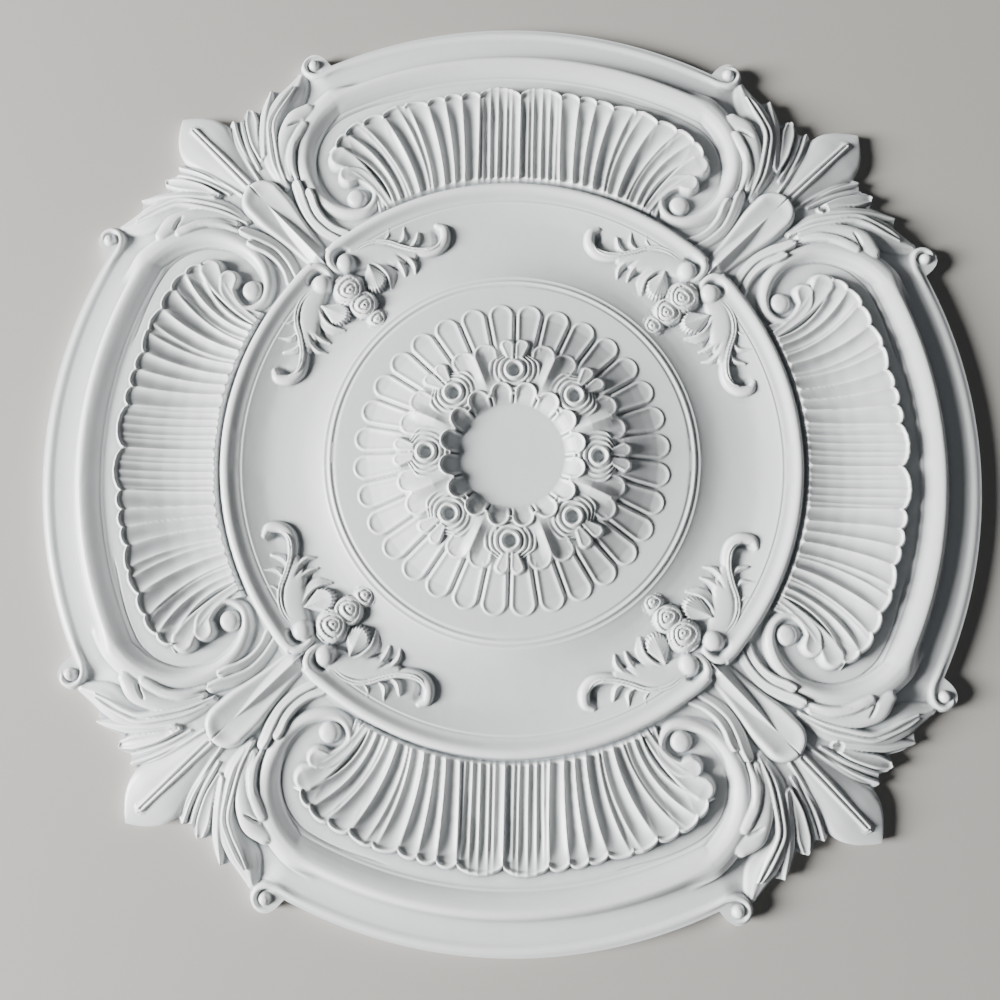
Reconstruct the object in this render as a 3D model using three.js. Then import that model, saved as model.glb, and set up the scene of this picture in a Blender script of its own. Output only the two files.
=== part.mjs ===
// Ceiling rose: a four-lobed moulded rose with a petalled boss, cast in one piece.
// Millimetres. The flat back lies on z = 0 and the ornament faces +Z.
// The four fluted lobes point along +-X and +-Y, the four leaf corners along the diagonals.
// Both halves of every lobe and every corner are mirror images, so the relief is described
// once, for the eighth of the rose between the +X axis and its diagonal.

import * as THREE from 'three';

// Driving dimensions
const lobeRadius = 450;        // centre to the outer edge of a lobe
const cornerRadius = 487;      // centre to the tip of a corner leaf
const ringRadius = 271;        // crest of the ring round the plain field
const bossRadius = 150;        // tips of the long petals
const discRadius = 49;         // plain sunk disc in the middle

// Heights above the back
const discHeight = 36;
const bossHeight = 47;
const platformHeight = 27;     // flat band round the boss
const fieldHeight = 19.5;
const ringHeight = 29;
const groundHeight = 19;       // ground under shells and leaves
const rollHeight = 27.5;       // crest of the roll along a lobe
const lipHeight = 29;          // scalloped lip of a shell
const rimHeight = 13;
const cornerEdgeHeight = 8;

const { degToRad, smoothstep, clamp, lerp } = THREE.MathUtils;

// Value at a position through [position, value] pairs, straight between them
function along(pairs, position) {
  if (position <= pairs[0][0]) return pairs[0][1];
  for (let i = 1; i < pairs.length; i++) {
    const [p0, v0] = pairs[i - 1];
    const [p1, v1] = pairs[i];
    if (position <= p1) return lerp(v0, v1, (position - p0) / (p1 - p0));
  }
  return pairs[pairs.length - 1][1];
}

// The same, with the values spread evenly from 0 to 1
function spread(values, t) {
  const place = clamp(t, 0, 1) * (values.length - 1);
  const index = Math.min(Math.floor(place), values.length - 2);
  return lerp(values[index], values[index + 1], place - index);
}

// Mouldings turned about the middle: the field, its ring, and the ground round it
const bodyProfile = [
  [0, platformHeight], [170, platformHeight], [174, 25.7], [179, 25], [188, 22], [203, 19.8],
  [218, fieldHeight], [234, 19.8], [252, 23.5], [262, 25.5], [ringRadius - 4, ringHeight - 0.4],
  [ringRadius, ringHeight], [ringRadius + 5, ringHeight - 4.5], [281, groundHeight + 1], [388, groundHeight],
];
const lobeProfile = [
  [388, groundHeight], [390, 21], [399, 24], [408, rollHeight], [411, rollHeight - 1], [418, 18.5],
  [428, 13], [440, 12], [443, rimHeight], [lobeRadius, rimHeight - 1],
];
const cornerProfile = [[388, groundHeight], [412, 13], [440, cornerEdgeHeight], [cornerRadius, 6]];
const lobeHalfAngle = degToRad(26.5);
const cornerStartAngle = degToRad(30);

// The ring opens at each diagonal, where its two ends curl round their balls
const ringGap = 8;             // from the diagonal to each end
const gapProfile = [[252, 23.5], [266, 22.5], [281, groundHeight + 1]];

function bodyHeight(x, y) {
  const radius = Math.hypot(x, y);
  if (radius < 388) {
    const share = smoothstep((x - y) * Math.SQRT1_2, ringGap - 3, ringGap + 3);
    const height = along(bodyProfile, radius);
    return radius < 281 ? lerp(Math.min(height, along(gapProfile, radius)), height, share) : height;
  }
  const share = smoothstep(Math.atan2(y, x), lobeHalfAngle, cornerStartAngle);
  return lerp(along(lobeProfile, radius), along(cornerProfile, radius), share);
}

// Boss: 32 long petals, 16 broad ones with 8 rosettes over them, 16 petals round the disc
const longPetals = 32;
const broadPetals = 16;
const innerPetals = 16;
const rosettes = 8;
const rosetteCentre = 80;

// Where an angle falls in a ring of petals: 0 in the gap between two, 1 at mid petal
function petalShare(angle, petals) {
  const phase = (angle / (2 * Math.PI)) * petals;
  return 1 - Math.abs(2 * (phase - Math.floor(phase)) - 1);
}

function petalTip(share, radius, scallop) {
  return radius - scallop * (1 - Math.sqrt(share * (2 - share)));
}

// A petal's hollow with a raised rim, falling into the gap at its side
function spoon(share, rim, gap) {
  return share < 0.3 ? lerp(-gap, rim, share / 0.3) : lerp(rim, -rim, (share - 0.3) / 0.7);
}

function bossHeightAt(radius, angle) {
  const long = petalShare(angle, longPetals);
  const broad = petalShare(angle, broadPetals);
  const inner = petalShare(angle, innerPetals);
  let height = 0;
  if (radius < petalTip(long, bossRadius, 11)) {
    height = along([[106, 37.5], [143, 29.5], [147, 31.5], [150, 30]], radius) + spoon(long, 0.7, 2);
  }
  if (radius < petalTip(broad, 110, 6)) {
    const ridge = radius < 100 ? 2.5 * (1 - broad) : 0;
    height = Math.max(height, along([[66, 45], [84, 43], [104, 39.5], [110, 38.5]], radius) + ridge);
  }
  if (radius < petalTip(inner, 70, 4)) {
    const slope = along([[discRadius, discHeight], [58, 43.5], [65, bossHeight], [70, bossHeight - 1]], radius);
    const petal = slope + spoon(inner, 0.5, 1.6);
    height = radius < 66 ? petal : Math.max(height, petal);
  }
  const step = (2 * Math.PI) / rosettes;
  const around = angle - Math.round(angle / step) * step;
  const out = radius * Math.cos(around) - rosetteCentre;
  const side = radius * Math.sin(around);
  const distance = Math.hypot(out, side);
  const cup = along([[0, 43.5], [5, 43.5], [8, 47.5], [10, 44.5], [13, 45], [16, 41.5], [18, 0]], distance);
  return Math.max(height, cup);
}

// Ribs of the half shell: the angle where each leaves the ring, in degrees, the point that
// it reaches on the lip, and how far it sags towards the axis of the lobe
const ribRoot = 280;
const ribs = [
  { leaves: 0, reaches: [368, 0], sag: 0 },
  { leaves: 2.8, reaches: [375, 13], sag: 0 },
  { leaves: 5.4, reaches: [375, 27], sag: 0 },
  { leaves: 8.3, reaches: [366, 41], sag: 0 },
  { leaves: 10.9, reaches: [363, 59], sag: 1 },
  { leaves: 12.8, reaches: [361, 76], sag: 1 },
  { leaves: 15, reaches: [355, 93], sag: 2 },
  { leaves: 17.6, reaches: [353, 115], sag: 4 },
  { leaves: 20.2, reaches: [341, 137], sag: 6 },
  { leaves: 22.3, reaches: [331, 158], sag: 7 },
  { leaves: 24.4, reaches: [320, 173], sag: 8 },
  { leaves: 26, reaches: [305, 181], sag: 9 },
  { leaves: 27.7, reaches: [284, 175], sag: 10 },
  { leaves: 29.3, reaches: [272, 160], sag: 6 },
];
const shellProfile = [[0, 25], [0.15, 22], [0.45, 21], [0.82, 26.5], [1, lipHeight]];
const fluteDepth = 3;
const scallopDepth = 0.2;      // bulge of a scallop as a share of the gap between its ribs

// A point of the half shell: flute runs from rib to rib, t from the ring to the lip
function shellPoint(flute, t) {
  const index = Math.min(Math.floor(flute), ribs.length - 2);
  const share = flute - index;
  const start = degToRad(lerp(ribs[index].leaves, ribs[index + 1].leaves, share));
  const root = new THREE.Vector2(Math.cos(start), Math.sin(start)).multiplyScalar(ribRoot);
  const from = new THREE.Vector2(...ribs[index].reaches);
  const to = new THREE.Vector2(...ribs[index + 1].reaches);
  const chord = to.clone().sub(from);
  const bulge = 4 * share * (1 - share) * scallopDepth;
  const end = from.lerp(to, share).add(new THREE.Vector2(chord.y, -chord.x).multiplyScalar(bulge));
  const sag = lerp(ribs[index].sag, ribs[index + 1].sag, share) * 4 * t * (1 - t);
  const reach = end.sub(root);
  const bend = new THREE.Vector2(reach.y, -reach.x).normalize().multiplyScalar(sag);
  const point = root.add(reach.multiplyScalar(t)).add(bend);
  const hollow = fluteDepth * 4 * share * (1 - share) * Math.sin(Math.PI * (0.12 + 0.88 * t));
  return { x: point.x, y: point.y, height: along(shellProfile, t) - hollow };
}

// Laid forms: leaves, fingers and rolls that follow a curve on the face.
// halfWidths and heights are spread along the curve, section across half of it, crest to edge.
const roundSection = [0, 0.3, 1.2, 4];
const ridgeSection = [0, 1.5, 3.5];
const spoonSection = [1.2, 0.6, 0, 3];
const rollSection = [0, 0.4, 1.6, 5];

// The roll turns back at the end of each lobe and winds round its eye
const scrollForms = [
  { path: [[375, 158], [361, 184], [341, 203], [316, 213], [290, 213], [266, 203], [249, 187],
    [241, 168], [243, 151], [254, 143], [268, 148]],
  halfWidths: [15, 14, 12, 11, 10, 8.5, 7, 5.5, 4.5, 3.5, 3],
  heights: [rollHeight, 27, 26.5, 26, 25.5, 25, 24.5, 24, 23.5, 23, 22],
  section: rollSection },
];

// Corner ornament, drawn in a frame whose first axis is the diagonal
const cornerForms = [
  // tongue with its tapering ridge
  { path: [[276, 0], [300, 0], [325, 0], [350, 0], [366, 0], [378, 0]],
    halfWidths: [12, 14, 18, 20.5, 16.5, 3], heights: [21.5, 21, 21.5, 22.5, 24.5, 25.5], section: spoonSection },
  { path: [[276, 0], [317, 0], [358, 0]], halfWidths: [11, 6, 1], heights: [27.5, 26.5, 24.5], section: ridgeSection },
  // spear and its rib
  { path: [[380, 0], [400, 0], [425, 0], [447, 0], [465, 0], [cornerRadius, 0]],
    halfWidths: [12, 17, 21, 27, 23, 1], heights: [20, 18, 15.5, 13, 11, cornerEdgeHeight], section: spoonSection },
  { path: [[381, 0], [425, 0], [469, 0]], halfWidths: [3.5, 3.5, 3], heights: [21.5, 17.5, 12.5], section: ridgeSection },
  // three narrow leaves beside the spear
  { path: [[384, 17], [410, 22], [430, 29], [449, 36]], halfWidths: [3, 5, 5.5, 2],
    heights: [20.5, 17.5, 14, 10], section: ridgeSection },
  { path: [[388, 24], [411, 34], [430, 46], [447, 54]], halfWidths: [3, 7, 8, 3],
    heights: [21.5, 19, 15, 10], section: spoonSection },
  { path: [[384, 30], [410, 50], [430, 68], [448, 87]], halfWidths: [4, 9, 12, 2],
    heights: [22, 19.5, 15.5, 10], section: ridgeSection },
  // the large leaf that sweeps out to the curl of the rim, and its rib
  { path: [[354, 29], [386, 43], [410, 63], [425, 90], [441, 118]], halfWidths: [4, 8, 12, 14, 3],
    heights: [23.5, 24, 22.5, 18.5, 12], section: spoonSection },
  { path: [[354, 29], [386, 42], [409, 62], [421, 84], [429, 105]], halfWidths: [2.5, 3, 3, 3, 1.5],
    heights: [25.5, 26, 24.5, 20.5, 16], section: ridgeSection },
  // rounded lobes lying back over the roll
  { path: [[384, 52], [395, 70], [399, 88], [396, 102]], halfWidths: [5, 9, 10, 3],
    heights: [25, 26.5, 26.5, 24], section: roundSection },
  { path: [[368, 44], [379, 60], [384, 75], [387, 87]], halfWidths: [4, 6.5, 6.5, 2.5],
    heights: [25, 27, 28, 27], section: roundSection },
  { path: [[352, 37], [366, 45], [378, 60]], halfWidths: [3, 5, 2], heights: [25, 27, 28], section: roundSection },
  // two fingers between the scroll and the tongue
  { path: [[277, 36], [293, 29], [308, 28], [321, 33], [330, 40]], halfWidths: [4, 5, 5, 5.5, 3],
    heights: [21.5, 22, 23, 25, 25], section: roundSection },
  { path: [[279, 26], [298, 21.5], [318, 22], [335, 29], [349, 35]], halfWidths: [4, 5, 5.5, 6.5, 3.5],
    heights: [21.5, 22, 23, 25, 25], section: roundSection },
  // leaf sprays of the drop, inside the ring
  { path: [[250, 26], [247, 42], [236, 57], [220, 67], [208, 79], [203, 92], [209, 104], [222, 105]],
    halfWidths: [8, 10, 10, 8, 6, 6, 5, 2.5], heights: [24, 24, 24, 24, 24, 24, 24, 23], section: roundSection },
  { path: [[224, 68], [223, 79], [230, 87]], halfWidths: [5, 4, 2], heights: [23, 24, 23], section: ridgeSection },
  { path: [[234, 62], [233, 73], [241, 81]], halfWidths: [5, 4, 2], heights: [23, 24, 23], section: ridgeSection },
  { path: [[224, 58], [212, 62], [200, 60]], halfWidths: [5, 4, 2], heights: [23, 24, 22.5], section: ridgeSection },
  { path: [[230, 49], [218, 51], [206, 50]], halfWidths: [5, 4, 2], heights: [23, 24, 22.5], section: ridgeSection },
  { path: [[240, 24], [225, 31], [207, 32]], halfWidths: [6, 9, 4], heights: [22, 25, 23], section: ridgeSection },
];

// Round forms: [across, up] centre, and [distance, height] pairs out from it
const scrollEyes = [{ centre: [257, 160], sides: 8, profile: [[0, 25], [8, 24], [10.5, 21], [12, 0]] }];
const roseProfile = (radius) => [[0, 28.5], [radius * 0.35, 28], [radius * 0.5, 25],
  [radius * 0.8, 25.5], [radius, 23], [radius + 1.5, 0]];
const cornerRounds = [
  { centre: [434, 133], sides: 8, profile: [[0, 15.5], [4, 15], [7, 12], [11, 14], [14, 11], [15.5, 0]] },
  { centre: [252, 15.5], sides: 8, profile: [[0, 30], [6, 28], [9.5, 23], [11, 0]] },
  { centre: [230, 0], sides: 8, profile: roseProfile(12) },
  { centre: [208, 0], sides: 8, profile: roseProfile(11) },
  { centre: [189, 0], sides: 8, profile: roseProfile(9.5) },
];

// Prepare a laid form: sample its curve once
const curveSamples = 40;
function prepare(form) {
  const curve = new THREE.SplineCurve(form.path.map(([x, y]) => new THREE.Vector2(x, y)));
  return { stride: 9, ...form, curve, points: curve.getPoints(curveSamples) };
}
scrollForms.forEach((form, i) => { scrollForms[i] = prepare(form); });
cornerForms.forEach((form, i) => { cornerForms[i] = prepare(form); });

function formHeight(form, x, y) {
  let nearest = Infinity;
  let t = 0;
  form.points.forEach((point, i) => {
    const distance = Math.hypot(point.x - x, point.y - y);
    if (distance < nearest) {
      nearest = distance;
      t = i / curveSamples;
    }
  });
  const across = nearest / spread(form.halfWidths, t);
  return across > 1 ? 0 : spread(form.heights, t) - spread(form.section, across);
}

const roundHeight = ({ centre, profile }, x, y) => along(profile, Math.hypot(x - centre[0], y - centre[1]));

// The shell's height at a point comes from the nearest sampled point of the shell
const shellRows = shellProfile.length - 1;
const shellSamples = [];
for (let flute = 0; flute <= ribs.length - 1; flute += 0.25) {
  for (let row = 0; row <= 4 * shellRows; row++) shellSamples.push(shellPoint(flute, row / (4 * shellRows)));
}
function shellHeight(x, y) {
  let nearest = Infinity;
  let height = 0;
  for (const sample of shellSamples) {
    const distance = Math.hypot(sample.x - x, sample.y - y);
    if (distance < nearest) {
      nearest = distance;
      height = sample.height;
    }
  }
  return nearest < 3 ? height : 0;
}

// From the eighth's own frame (first axis along the lobe) to the corner's (first axis on the diagonal)
const toCorner = (x, y) => [(x + y) * Math.SQRT1_2, (x - y) * Math.SQRT1_2];
const fromCorner = (u, v) => [(u + v) * Math.SQRT1_2, (u - v) * Math.SQRT1_2];

// Height of the relief at a point of the eighth
function reliefHeight(x, y) {
  const radius = Math.hypot(x, y);
  if (radius < discRadius + 0.1) return discHeight;
  if (radius < bossRadius + 1) return Math.max(platformHeight, bossHeightAt(radius, Math.atan2(y, x)));
  const [u, v] = toCorner(x, y);
  const heights = [bodyHeight(x, y), shellHeight(x, y)];
  scrollForms.forEach((form) => heights.push(formHeight(form, x, y)));
  scrollEyes.forEach((round) => heights.push(roundHeight(round, x, y)));
  cornerForms.forEach((form) => heights.push(formHeight(form, u, v)));
  cornerRounds.forEach((round) => heights.push(roundHeight(round, u, v)));
  return Math.max(...heights);
}

// Outline of the eighth: the arc of the lobe, then the curl of the rim and the leaf edges
const lobeArcEnd = degToRad(25.7);
const lobeArcPoints = 11;
const leafOutline = [
  [426, 146.5], [436, 148.5], [445, 145], [449.5, 136], [447, 127], [441.5, 121.5], [441, 108], [440.5, 93],
  [447.5, 87], [445, 75], [438, 61.5], [444.5, 58], [448, 51], [442.5, 42], [449, 36.5], [448.5, 29.5],
  [460, 26], [471, 19], [480.5, 9], [cornerRadius, 0],
];
const outline = [];
for (let i = 0; i < lobeArcPoints; i++) {
  const angle = (lobeArcEnd * i) / (lobeArcPoints - 1);
  outline.push([lobeRadius * Math.cos(angle), lobeRadius * Math.sin(angle)]);
}
leafOutline.forEach(([u, v]) => outline.push(fromCorner(u, v)));

function insideLoop(loop, x, y) {
  let inside = false;
  loop.forEach(([x1, y1], i) => {
    const [x0, y0] = loop[(i + loop.length - 1) % loop.length];
    if (y1 > y !== y0 > y && x < ((x0 - x1) * (y - y1)) / (y0 - y1) + x1) inside = !inside;
  });
  return inside;
}

// Points of the eighth, crests and gaps first so that they keep their places.
// Points near the two mirror lines are moved onto them.
const eighthPoints = outline.map(([x, y]) => ({ x, y }));
const eighthLoop = [...outline, [0, 0]];
function addPoint(x, y, spacing) {
  if (y < -0.5 || y > x + 0.5) return;
  const onAxis = y < spacing * 0.6;
  const onDiagonal = (x - y) * Math.SQRT1_2 < spacing * 0.6;
  const place = onAxis ? { x, y: 0 } : onDiagonal ? { x: (x + y) / 2, y: (x + y) / 2 } : { x, y };
  if (eighthPoints.some((point) => Math.hypot(point.x - place.x, point.y - place.y) < spacing)) return;
  if (onAxis || onDiagonal || insideLoop(eighthLoop, x, y)) eighthPoints.push(place);
}

// Crest of a laid form, then both its feet, in the frame that place() maps to the eighth
function addForm(form, spacing, place) {
  const steps = Math.ceil(form.curve.getLength() / form.stride);
  for (const share of [0, 1.06, -1.06]) {
    for (let i = 0; i <= steps; i++) {
      const t = i / steps;
      const point = form.curve.getPoint(t);
      const tangent = form.curve.getTangent(t);
      const offset = share * spread(form.halfWidths, t);
      addPoint(...place(point.x - tangent.y * offset, point.y + tangent.x * offset), spacing);
    }
  }
}

function addRound({ centre, profile, sides }, spacing, place) {
  addPoint(...place(...centre), spacing);
  profile.slice(1).forEach(([distance]) => {
    for (let i = 0; i < sides; i++) {
      const angle = (2 * Math.PI * i) / sides;
      addPoint(...place(centre[0] + distance * Math.cos(angle), centre[1] + distance * Math.sin(angle)), spacing);
    }
  });
}

function addArc(radius, fromDegrees, toDegrees, count, spacing) {
  for (let i = 0; i <= count; i++) {
    const angle = degToRad(lerp(fromDegrees, toDegrees, i / count));
    addPoint(radius * Math.cos(angle), radius * Math.sin(angle), spacing);
  }
}

const stay = (x, y) => [x, y];

// Least distances between points: on crisp edges, on carving, on leaves and on plain ground
const closeSpacing = 4;
const openSpacing = 5.1;
const leafSpacing = 8;
const plainSpacing = 11;

// Circles of points across the eighth, from the boss outward
for (const radius of [discRadius, 65, 110]) addArc(radius, 0, 45, 8, closeSpacing);
for (const radius of [143, 147, bossRadius + 0.5]) addArc(radius, 0, 45, 16, closeSpacing);
for (const radius of [58, 70, 88, 126]) addArc(radius, 0, 45, 8, openSpacing);

// Rosettes on the axis and on the diagonal
const rosetteSides = 10;
for (const distance of [5, 8, 10.5, 16, 18.5]) {
  for (let i = 0; i < rosetteSides; i++) {
    const angle = (2 * Math.PI * i) / rosetteSides;
    const x = rosetteCentre + distance * Math.cos(angle);
    const y = distance * Math.sin(angle);
    addPoint(x, y, openSpacing);
    addPoint(...fromCorner(x, y), openSpacing);
  }
}
for (let flute = 0; flute <= 2 * (ribs.length - 1); flute++) {
  for (const t of [1, 0.82, 0.45, 0.15, 0]) {
    const { x, y } = shellPoint(flute / 2, t);
    addPoint(x, y, openSpacing);
  }
  const lip = shellPoint(flute / 2, 1.05);
  addPoint(lip.x, lip.y, closeSpacing);
}
scrollForms.forEach((form) => addForm(form, openSpacing, stay));
scrollEyes.forEach((round) => addRound(round, openSpacing, stay));
cornerForms.forEach((form) => addForm(form, leafSpacing, fromCorner));
cornerRounds.forEach((round) => addRound(round, openSpacing, fromCorner));
for (const radius of [443, 440, 428, 418, 408, 399, 389]) addArc(radius, 0, 30, 6, openSpacing);
for (const radius of [170, 174, 179]) addArc(radius, 0, 45, 10, closeSpacing);
for (const radius of [ringRadius - 6, ringRadius, ringRadius + 5]) {
  addArc(radius, 42.5, 45, 2, closeSpacing);
  addArc(radius, 0, 42.5, 12, closeSpacing);
}
for (const radius of [252, 228, 203, 188]) addArc(radius, 0, 45, 6, plainSpacing);
for (let radius = 290; radius < cornerRadius; radius += 12) addArc(radius, 28, 45, 7, plainSpacing);

// The whole face: the eighth turned and mirrored, without doubling its mirror lines
const face = [];
for (const point of eighthPoints) {
  for (let quarter = 0; quarter < 4; quarter++) {
    const cos = [1, 0, -1, 0][quarter];
    const sin = [0, 1, 0, -1][quarter];
    const z = reliefHeight(point.x, point.y);
    const onMirror = point.y === 0 || point.x === point.y;
    const images = onMirror ? [[point.x, point.y]] : [[point.x, point.y], [point.x, -point.y]];
    images.forEach(([x, y]) => face.push({ x: x * cos - y * sin, y: x * sin + y * cos, z }));
  }
}
face.push({ x: 0, y: 0, z: discHeight });

// Triangles between the points, each new point cutting out the circles that it falls in.
// The small shifts only settle which diagonal a symmetrical square takes.
function triangulate(list) {
  const shift = 1e-3;
  const spot = list.map(({ x, y }, i) => [x + shift * Math.sin(12.9 * i), y + shift * Math.cos(78.2 * i)]);
  const far = 10 * cornerRadius;
  spot.push([-far, -far], [far, -far], [0, far]);
  const circle = (a, b, c) => {
    const [ax, ay] = spot[a];
    const bx = spot[b][0] - ax;
    const by = spot[b][1] - ay;
    const cx = spot[c][0] - ax;
    const cy = spot[c][1] - ay;
    const d = 2 * (bx * cy - by * cx);
    const x = (cy * (bx * bx + by * by) - by * (cx * cx + cy * cy)) / d;
    const y = (bx * (cx * cx + cy * cy) - cx * (bx * bx + by * by)) / d;
    return { corners: [a, b, c], x: ax + x, y: ay + y, square: x * x + y * y };
  };
  const count = list.length;
  let triangles = [circle(count, count + 1, count + 2)];
  for (let i = 0; i < count; i++) {
    const [x, y] = spot[i];
    const rim = new Map();
    triangles = triangles.filter((triangle) => {
      if ((triangle.x - x) ** 2 + (triangle.y - y) ** 2 >= triangle.square) return true;
      const [a, b, c] = triangle.corners;
      for (const [from, to] of [[a, b], [b, c], [c, a]]) {
        if (!rim.delete(`${to} ${from}`)) rim.set(`${from} ${to}`, [from, to]);
      }
      return false;
    });
    rim.forEach(([from, to]) => triangles.push(circle(from, to, i)));
  }
  return triangles.map(({ corners }) => corners).filter((corners) => corners.every((corner) => corner < count));
}

// Outline of the whole rose, counter-clockwise
const wholeLoop = [];
for (let quarter = 0; quarter < 4; quarter++) {
  const cos = [1, 0, -1, 0][quarter];
  const sin = [0, 1, 0, -1][quarter];
  const upper = outline.slice(0, -1);
  const quadrant = [...upper, outline.at(-1), ...upper.slice(1).reverse().map(([x, y]) => [y, x])];
  quadrant.forEach(([x, y]) => wholeLoop.push([x * cos - y * sin, x * sin + y * cos]));
}

// One closed body: the face, walls down from its edge, and the flat back
function closedBody(triangles) {
  const inside = triangles.filter((corners) => {
    const [a, b, c] = corners.map((corner) => face[corner]);
    return insideLoop(wholeLoop, (a.x + b.x + c.x) / 3, (a.y + b.y + c.y) / 3);
  });
  const positions = face.flatMap(({ x, y, z }) => [x, y, z]);
  const indices = inside.flat();
  const next = new Map();
  const edges = new Set(inside.flatMap(([a, b, c]) => [`${a} ${b}`, `${b} ${c}`, `${c} ${a}`]));
  edges.forEach((edge) => {
    const [from, to] = edge.split(' ').map(Number);
    if (!edges.has(`${to} ${from}`)) next.set(from, to);
  });
  const loop = [];
  for (let corner = next.keys().next().value; loop.length < next.size; corner = next.get(corner)) loop.push(corner);
  const backStart = positions.length / 3;
  loop.forEach((corner) => positions.push(face[corner].x, face[corner].y, 0));
  loop.forEach((corner, i) => {
    const after = (i + 1) % loop.length;
    indices.push(loop[after], corner, backStart + i, loop[after], backStart + i, backStart + after);
  });
  const backOutline = loop.map((corner) => new THREE.Vector2(face[corner].x, face[corner].y));
  THREE.ShapeUtils.triangulateShape(backOutline, []).forEach(([a, b, c]) => {
    indices.push(backStart + a, backStart + c, backStart + b);
  });
  const body = new THREE.BufferGeometry();
  body.setAttribute('position', new THREE.Float32BufferAttribute(positions, 3));
  body.setIndex(indices);
  body.computeVertexNormals();
  return body;
}

const plaster = new THREE.MeshStandardMaterial({ color: 0xe9ebea, roughness: 0.55, metalness: 0 });
const ceilingRose = new THREE.Mesh(closedBody(triangulate(face)), plaster);
ceilingRose.name = 'ceiling_rose';

const part = new THREE.Group();
part.add(ceilingRose);

export default part;
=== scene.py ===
import bpy
import math
import numpy as np
from mathutils import Matrix, Vector
from mathutils.geometry import delaunay_2d_cdt


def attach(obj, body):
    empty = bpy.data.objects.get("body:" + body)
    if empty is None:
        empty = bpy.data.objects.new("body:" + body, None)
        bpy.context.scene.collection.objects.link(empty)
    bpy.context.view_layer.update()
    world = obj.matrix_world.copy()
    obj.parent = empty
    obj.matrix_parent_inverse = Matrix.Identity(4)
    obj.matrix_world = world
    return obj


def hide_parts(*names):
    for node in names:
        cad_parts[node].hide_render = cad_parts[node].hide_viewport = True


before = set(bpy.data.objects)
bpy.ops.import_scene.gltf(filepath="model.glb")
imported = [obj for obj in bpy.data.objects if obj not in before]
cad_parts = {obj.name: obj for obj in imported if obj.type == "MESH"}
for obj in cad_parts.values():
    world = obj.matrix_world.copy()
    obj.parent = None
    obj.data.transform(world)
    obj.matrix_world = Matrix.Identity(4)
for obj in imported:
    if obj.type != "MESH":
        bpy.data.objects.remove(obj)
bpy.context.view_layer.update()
mm = 0.001

# camera, at the angle of the photograph

cameraPlace = {
    "location": (-0.0078, -0.1371, 0.7711), "tilt": (-0.12837, -0.000275, -0.025178), "lens": 28.86,
    "sensor": 36,
}
tiltX, tiltY, tiltZ = cameraPlace["tilt"]
worldToCamera = Matrix.Rotation(tiltX, 3, "X") @ Matrix.Rotation(tiltY, 3, "Y")
worldToCamera = worldToCamera @ Matrix.Rotation(tiltZ, 3, "Z")
cameraData = bpy.data.cameras.new("camera")
cameraData.lens = cameraPlace["lens"]
cameraData.sensor_width = cameraPlace["sensor"]
cameraData.clip_start = 0.01
camera = bpy.data.objects.new("camera", cameraData)
bpy.context.scene.collection.objects.link(camera)
camera.matrix_world = Matrix.Translation(cameraPlace["location"]) @ worldToCamera.transposed().to_4x4()
bpy.context.scene.camera = camera
print("camera placed")

diagonal = math.sqrt(0.5)


def profile(points, place, soften=0.8):  # a drawn section, with its corners eased
    step, margin = 0.25, 4
    first, last = points[0][0], points[-1][0]
    places = np.arange(first - margin, last + margin, step)
    heights = np.interp(places, *zip(*points))
    kernel = np.hanning(2 * int(soften / step) + 3)
    eased = np.convolve(np.pad(heights, len(kernel), "edge"), kernel / kernel.sum(), "same")
    return np.interp(place, places, eased[len(kernel):-len(kernel)])


def curveThrough(points, spacing=0.8):  # a smooth line through drawn points, and how far along each sample is
    knots = np.array(points, float)
    ends = np.vstack([2 * knots[0] - knots[1], knots, 2 * knots[-1] - knots[-2]])
    lines, shares = [], []
    for i in range(len(knots) - 1):
        a, b, c, d = ends[i:i + 4]
        count = max(2, int(np.hypot(*(c - b)) / spacing))
        t = np.linspace(0, 1, count, endpoint=False)[:, None]
        lines.append(b + 0.5 * t * (c - a + t * (2 * a - 5 * b + 4 * c - d + t * (3 * (b - c) + d - a))))
        shares.append(i + t[:, 0])
    line = np.vstack(lines + [knots[-1:]])
    share = np.append(np.concatenate(shares), len(knots) - 1) / (len(knots) - 1)
    return line, share


def easedTable(places, values, blur):  # values at even steps, with the corners between them rounded
    count = 400
    steps = np.linspace(places[0], places[-1], count + 1)
    table = np.interp(steps, places, values)
    kernel = np.hanning(2 * int(blur * (count // 2)) + 3)
    pad = len(kernel)
    start = table[0] + (table[0] - table[1]) * np.arange(pad, 0, -1)
    end = table[-1] + (table[-1] - table[-2]) * np.arange(1, pad + 1)
    table = np.convolve(np.concatenate([start, table, end]), kernel / kernel.sum(), "same")[pad:-pad]
    return steps, table


def spread(values, share):  # values spaced evenly along a form
    values = np.atleast_1d(values)
    if len(values) == 1:
        return np.full_like(share, values[0])
    return np.interp(share, *easedTable(np.linspace(0, 1, len(values)), values, 1 / (len(values) - 1)))


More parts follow.
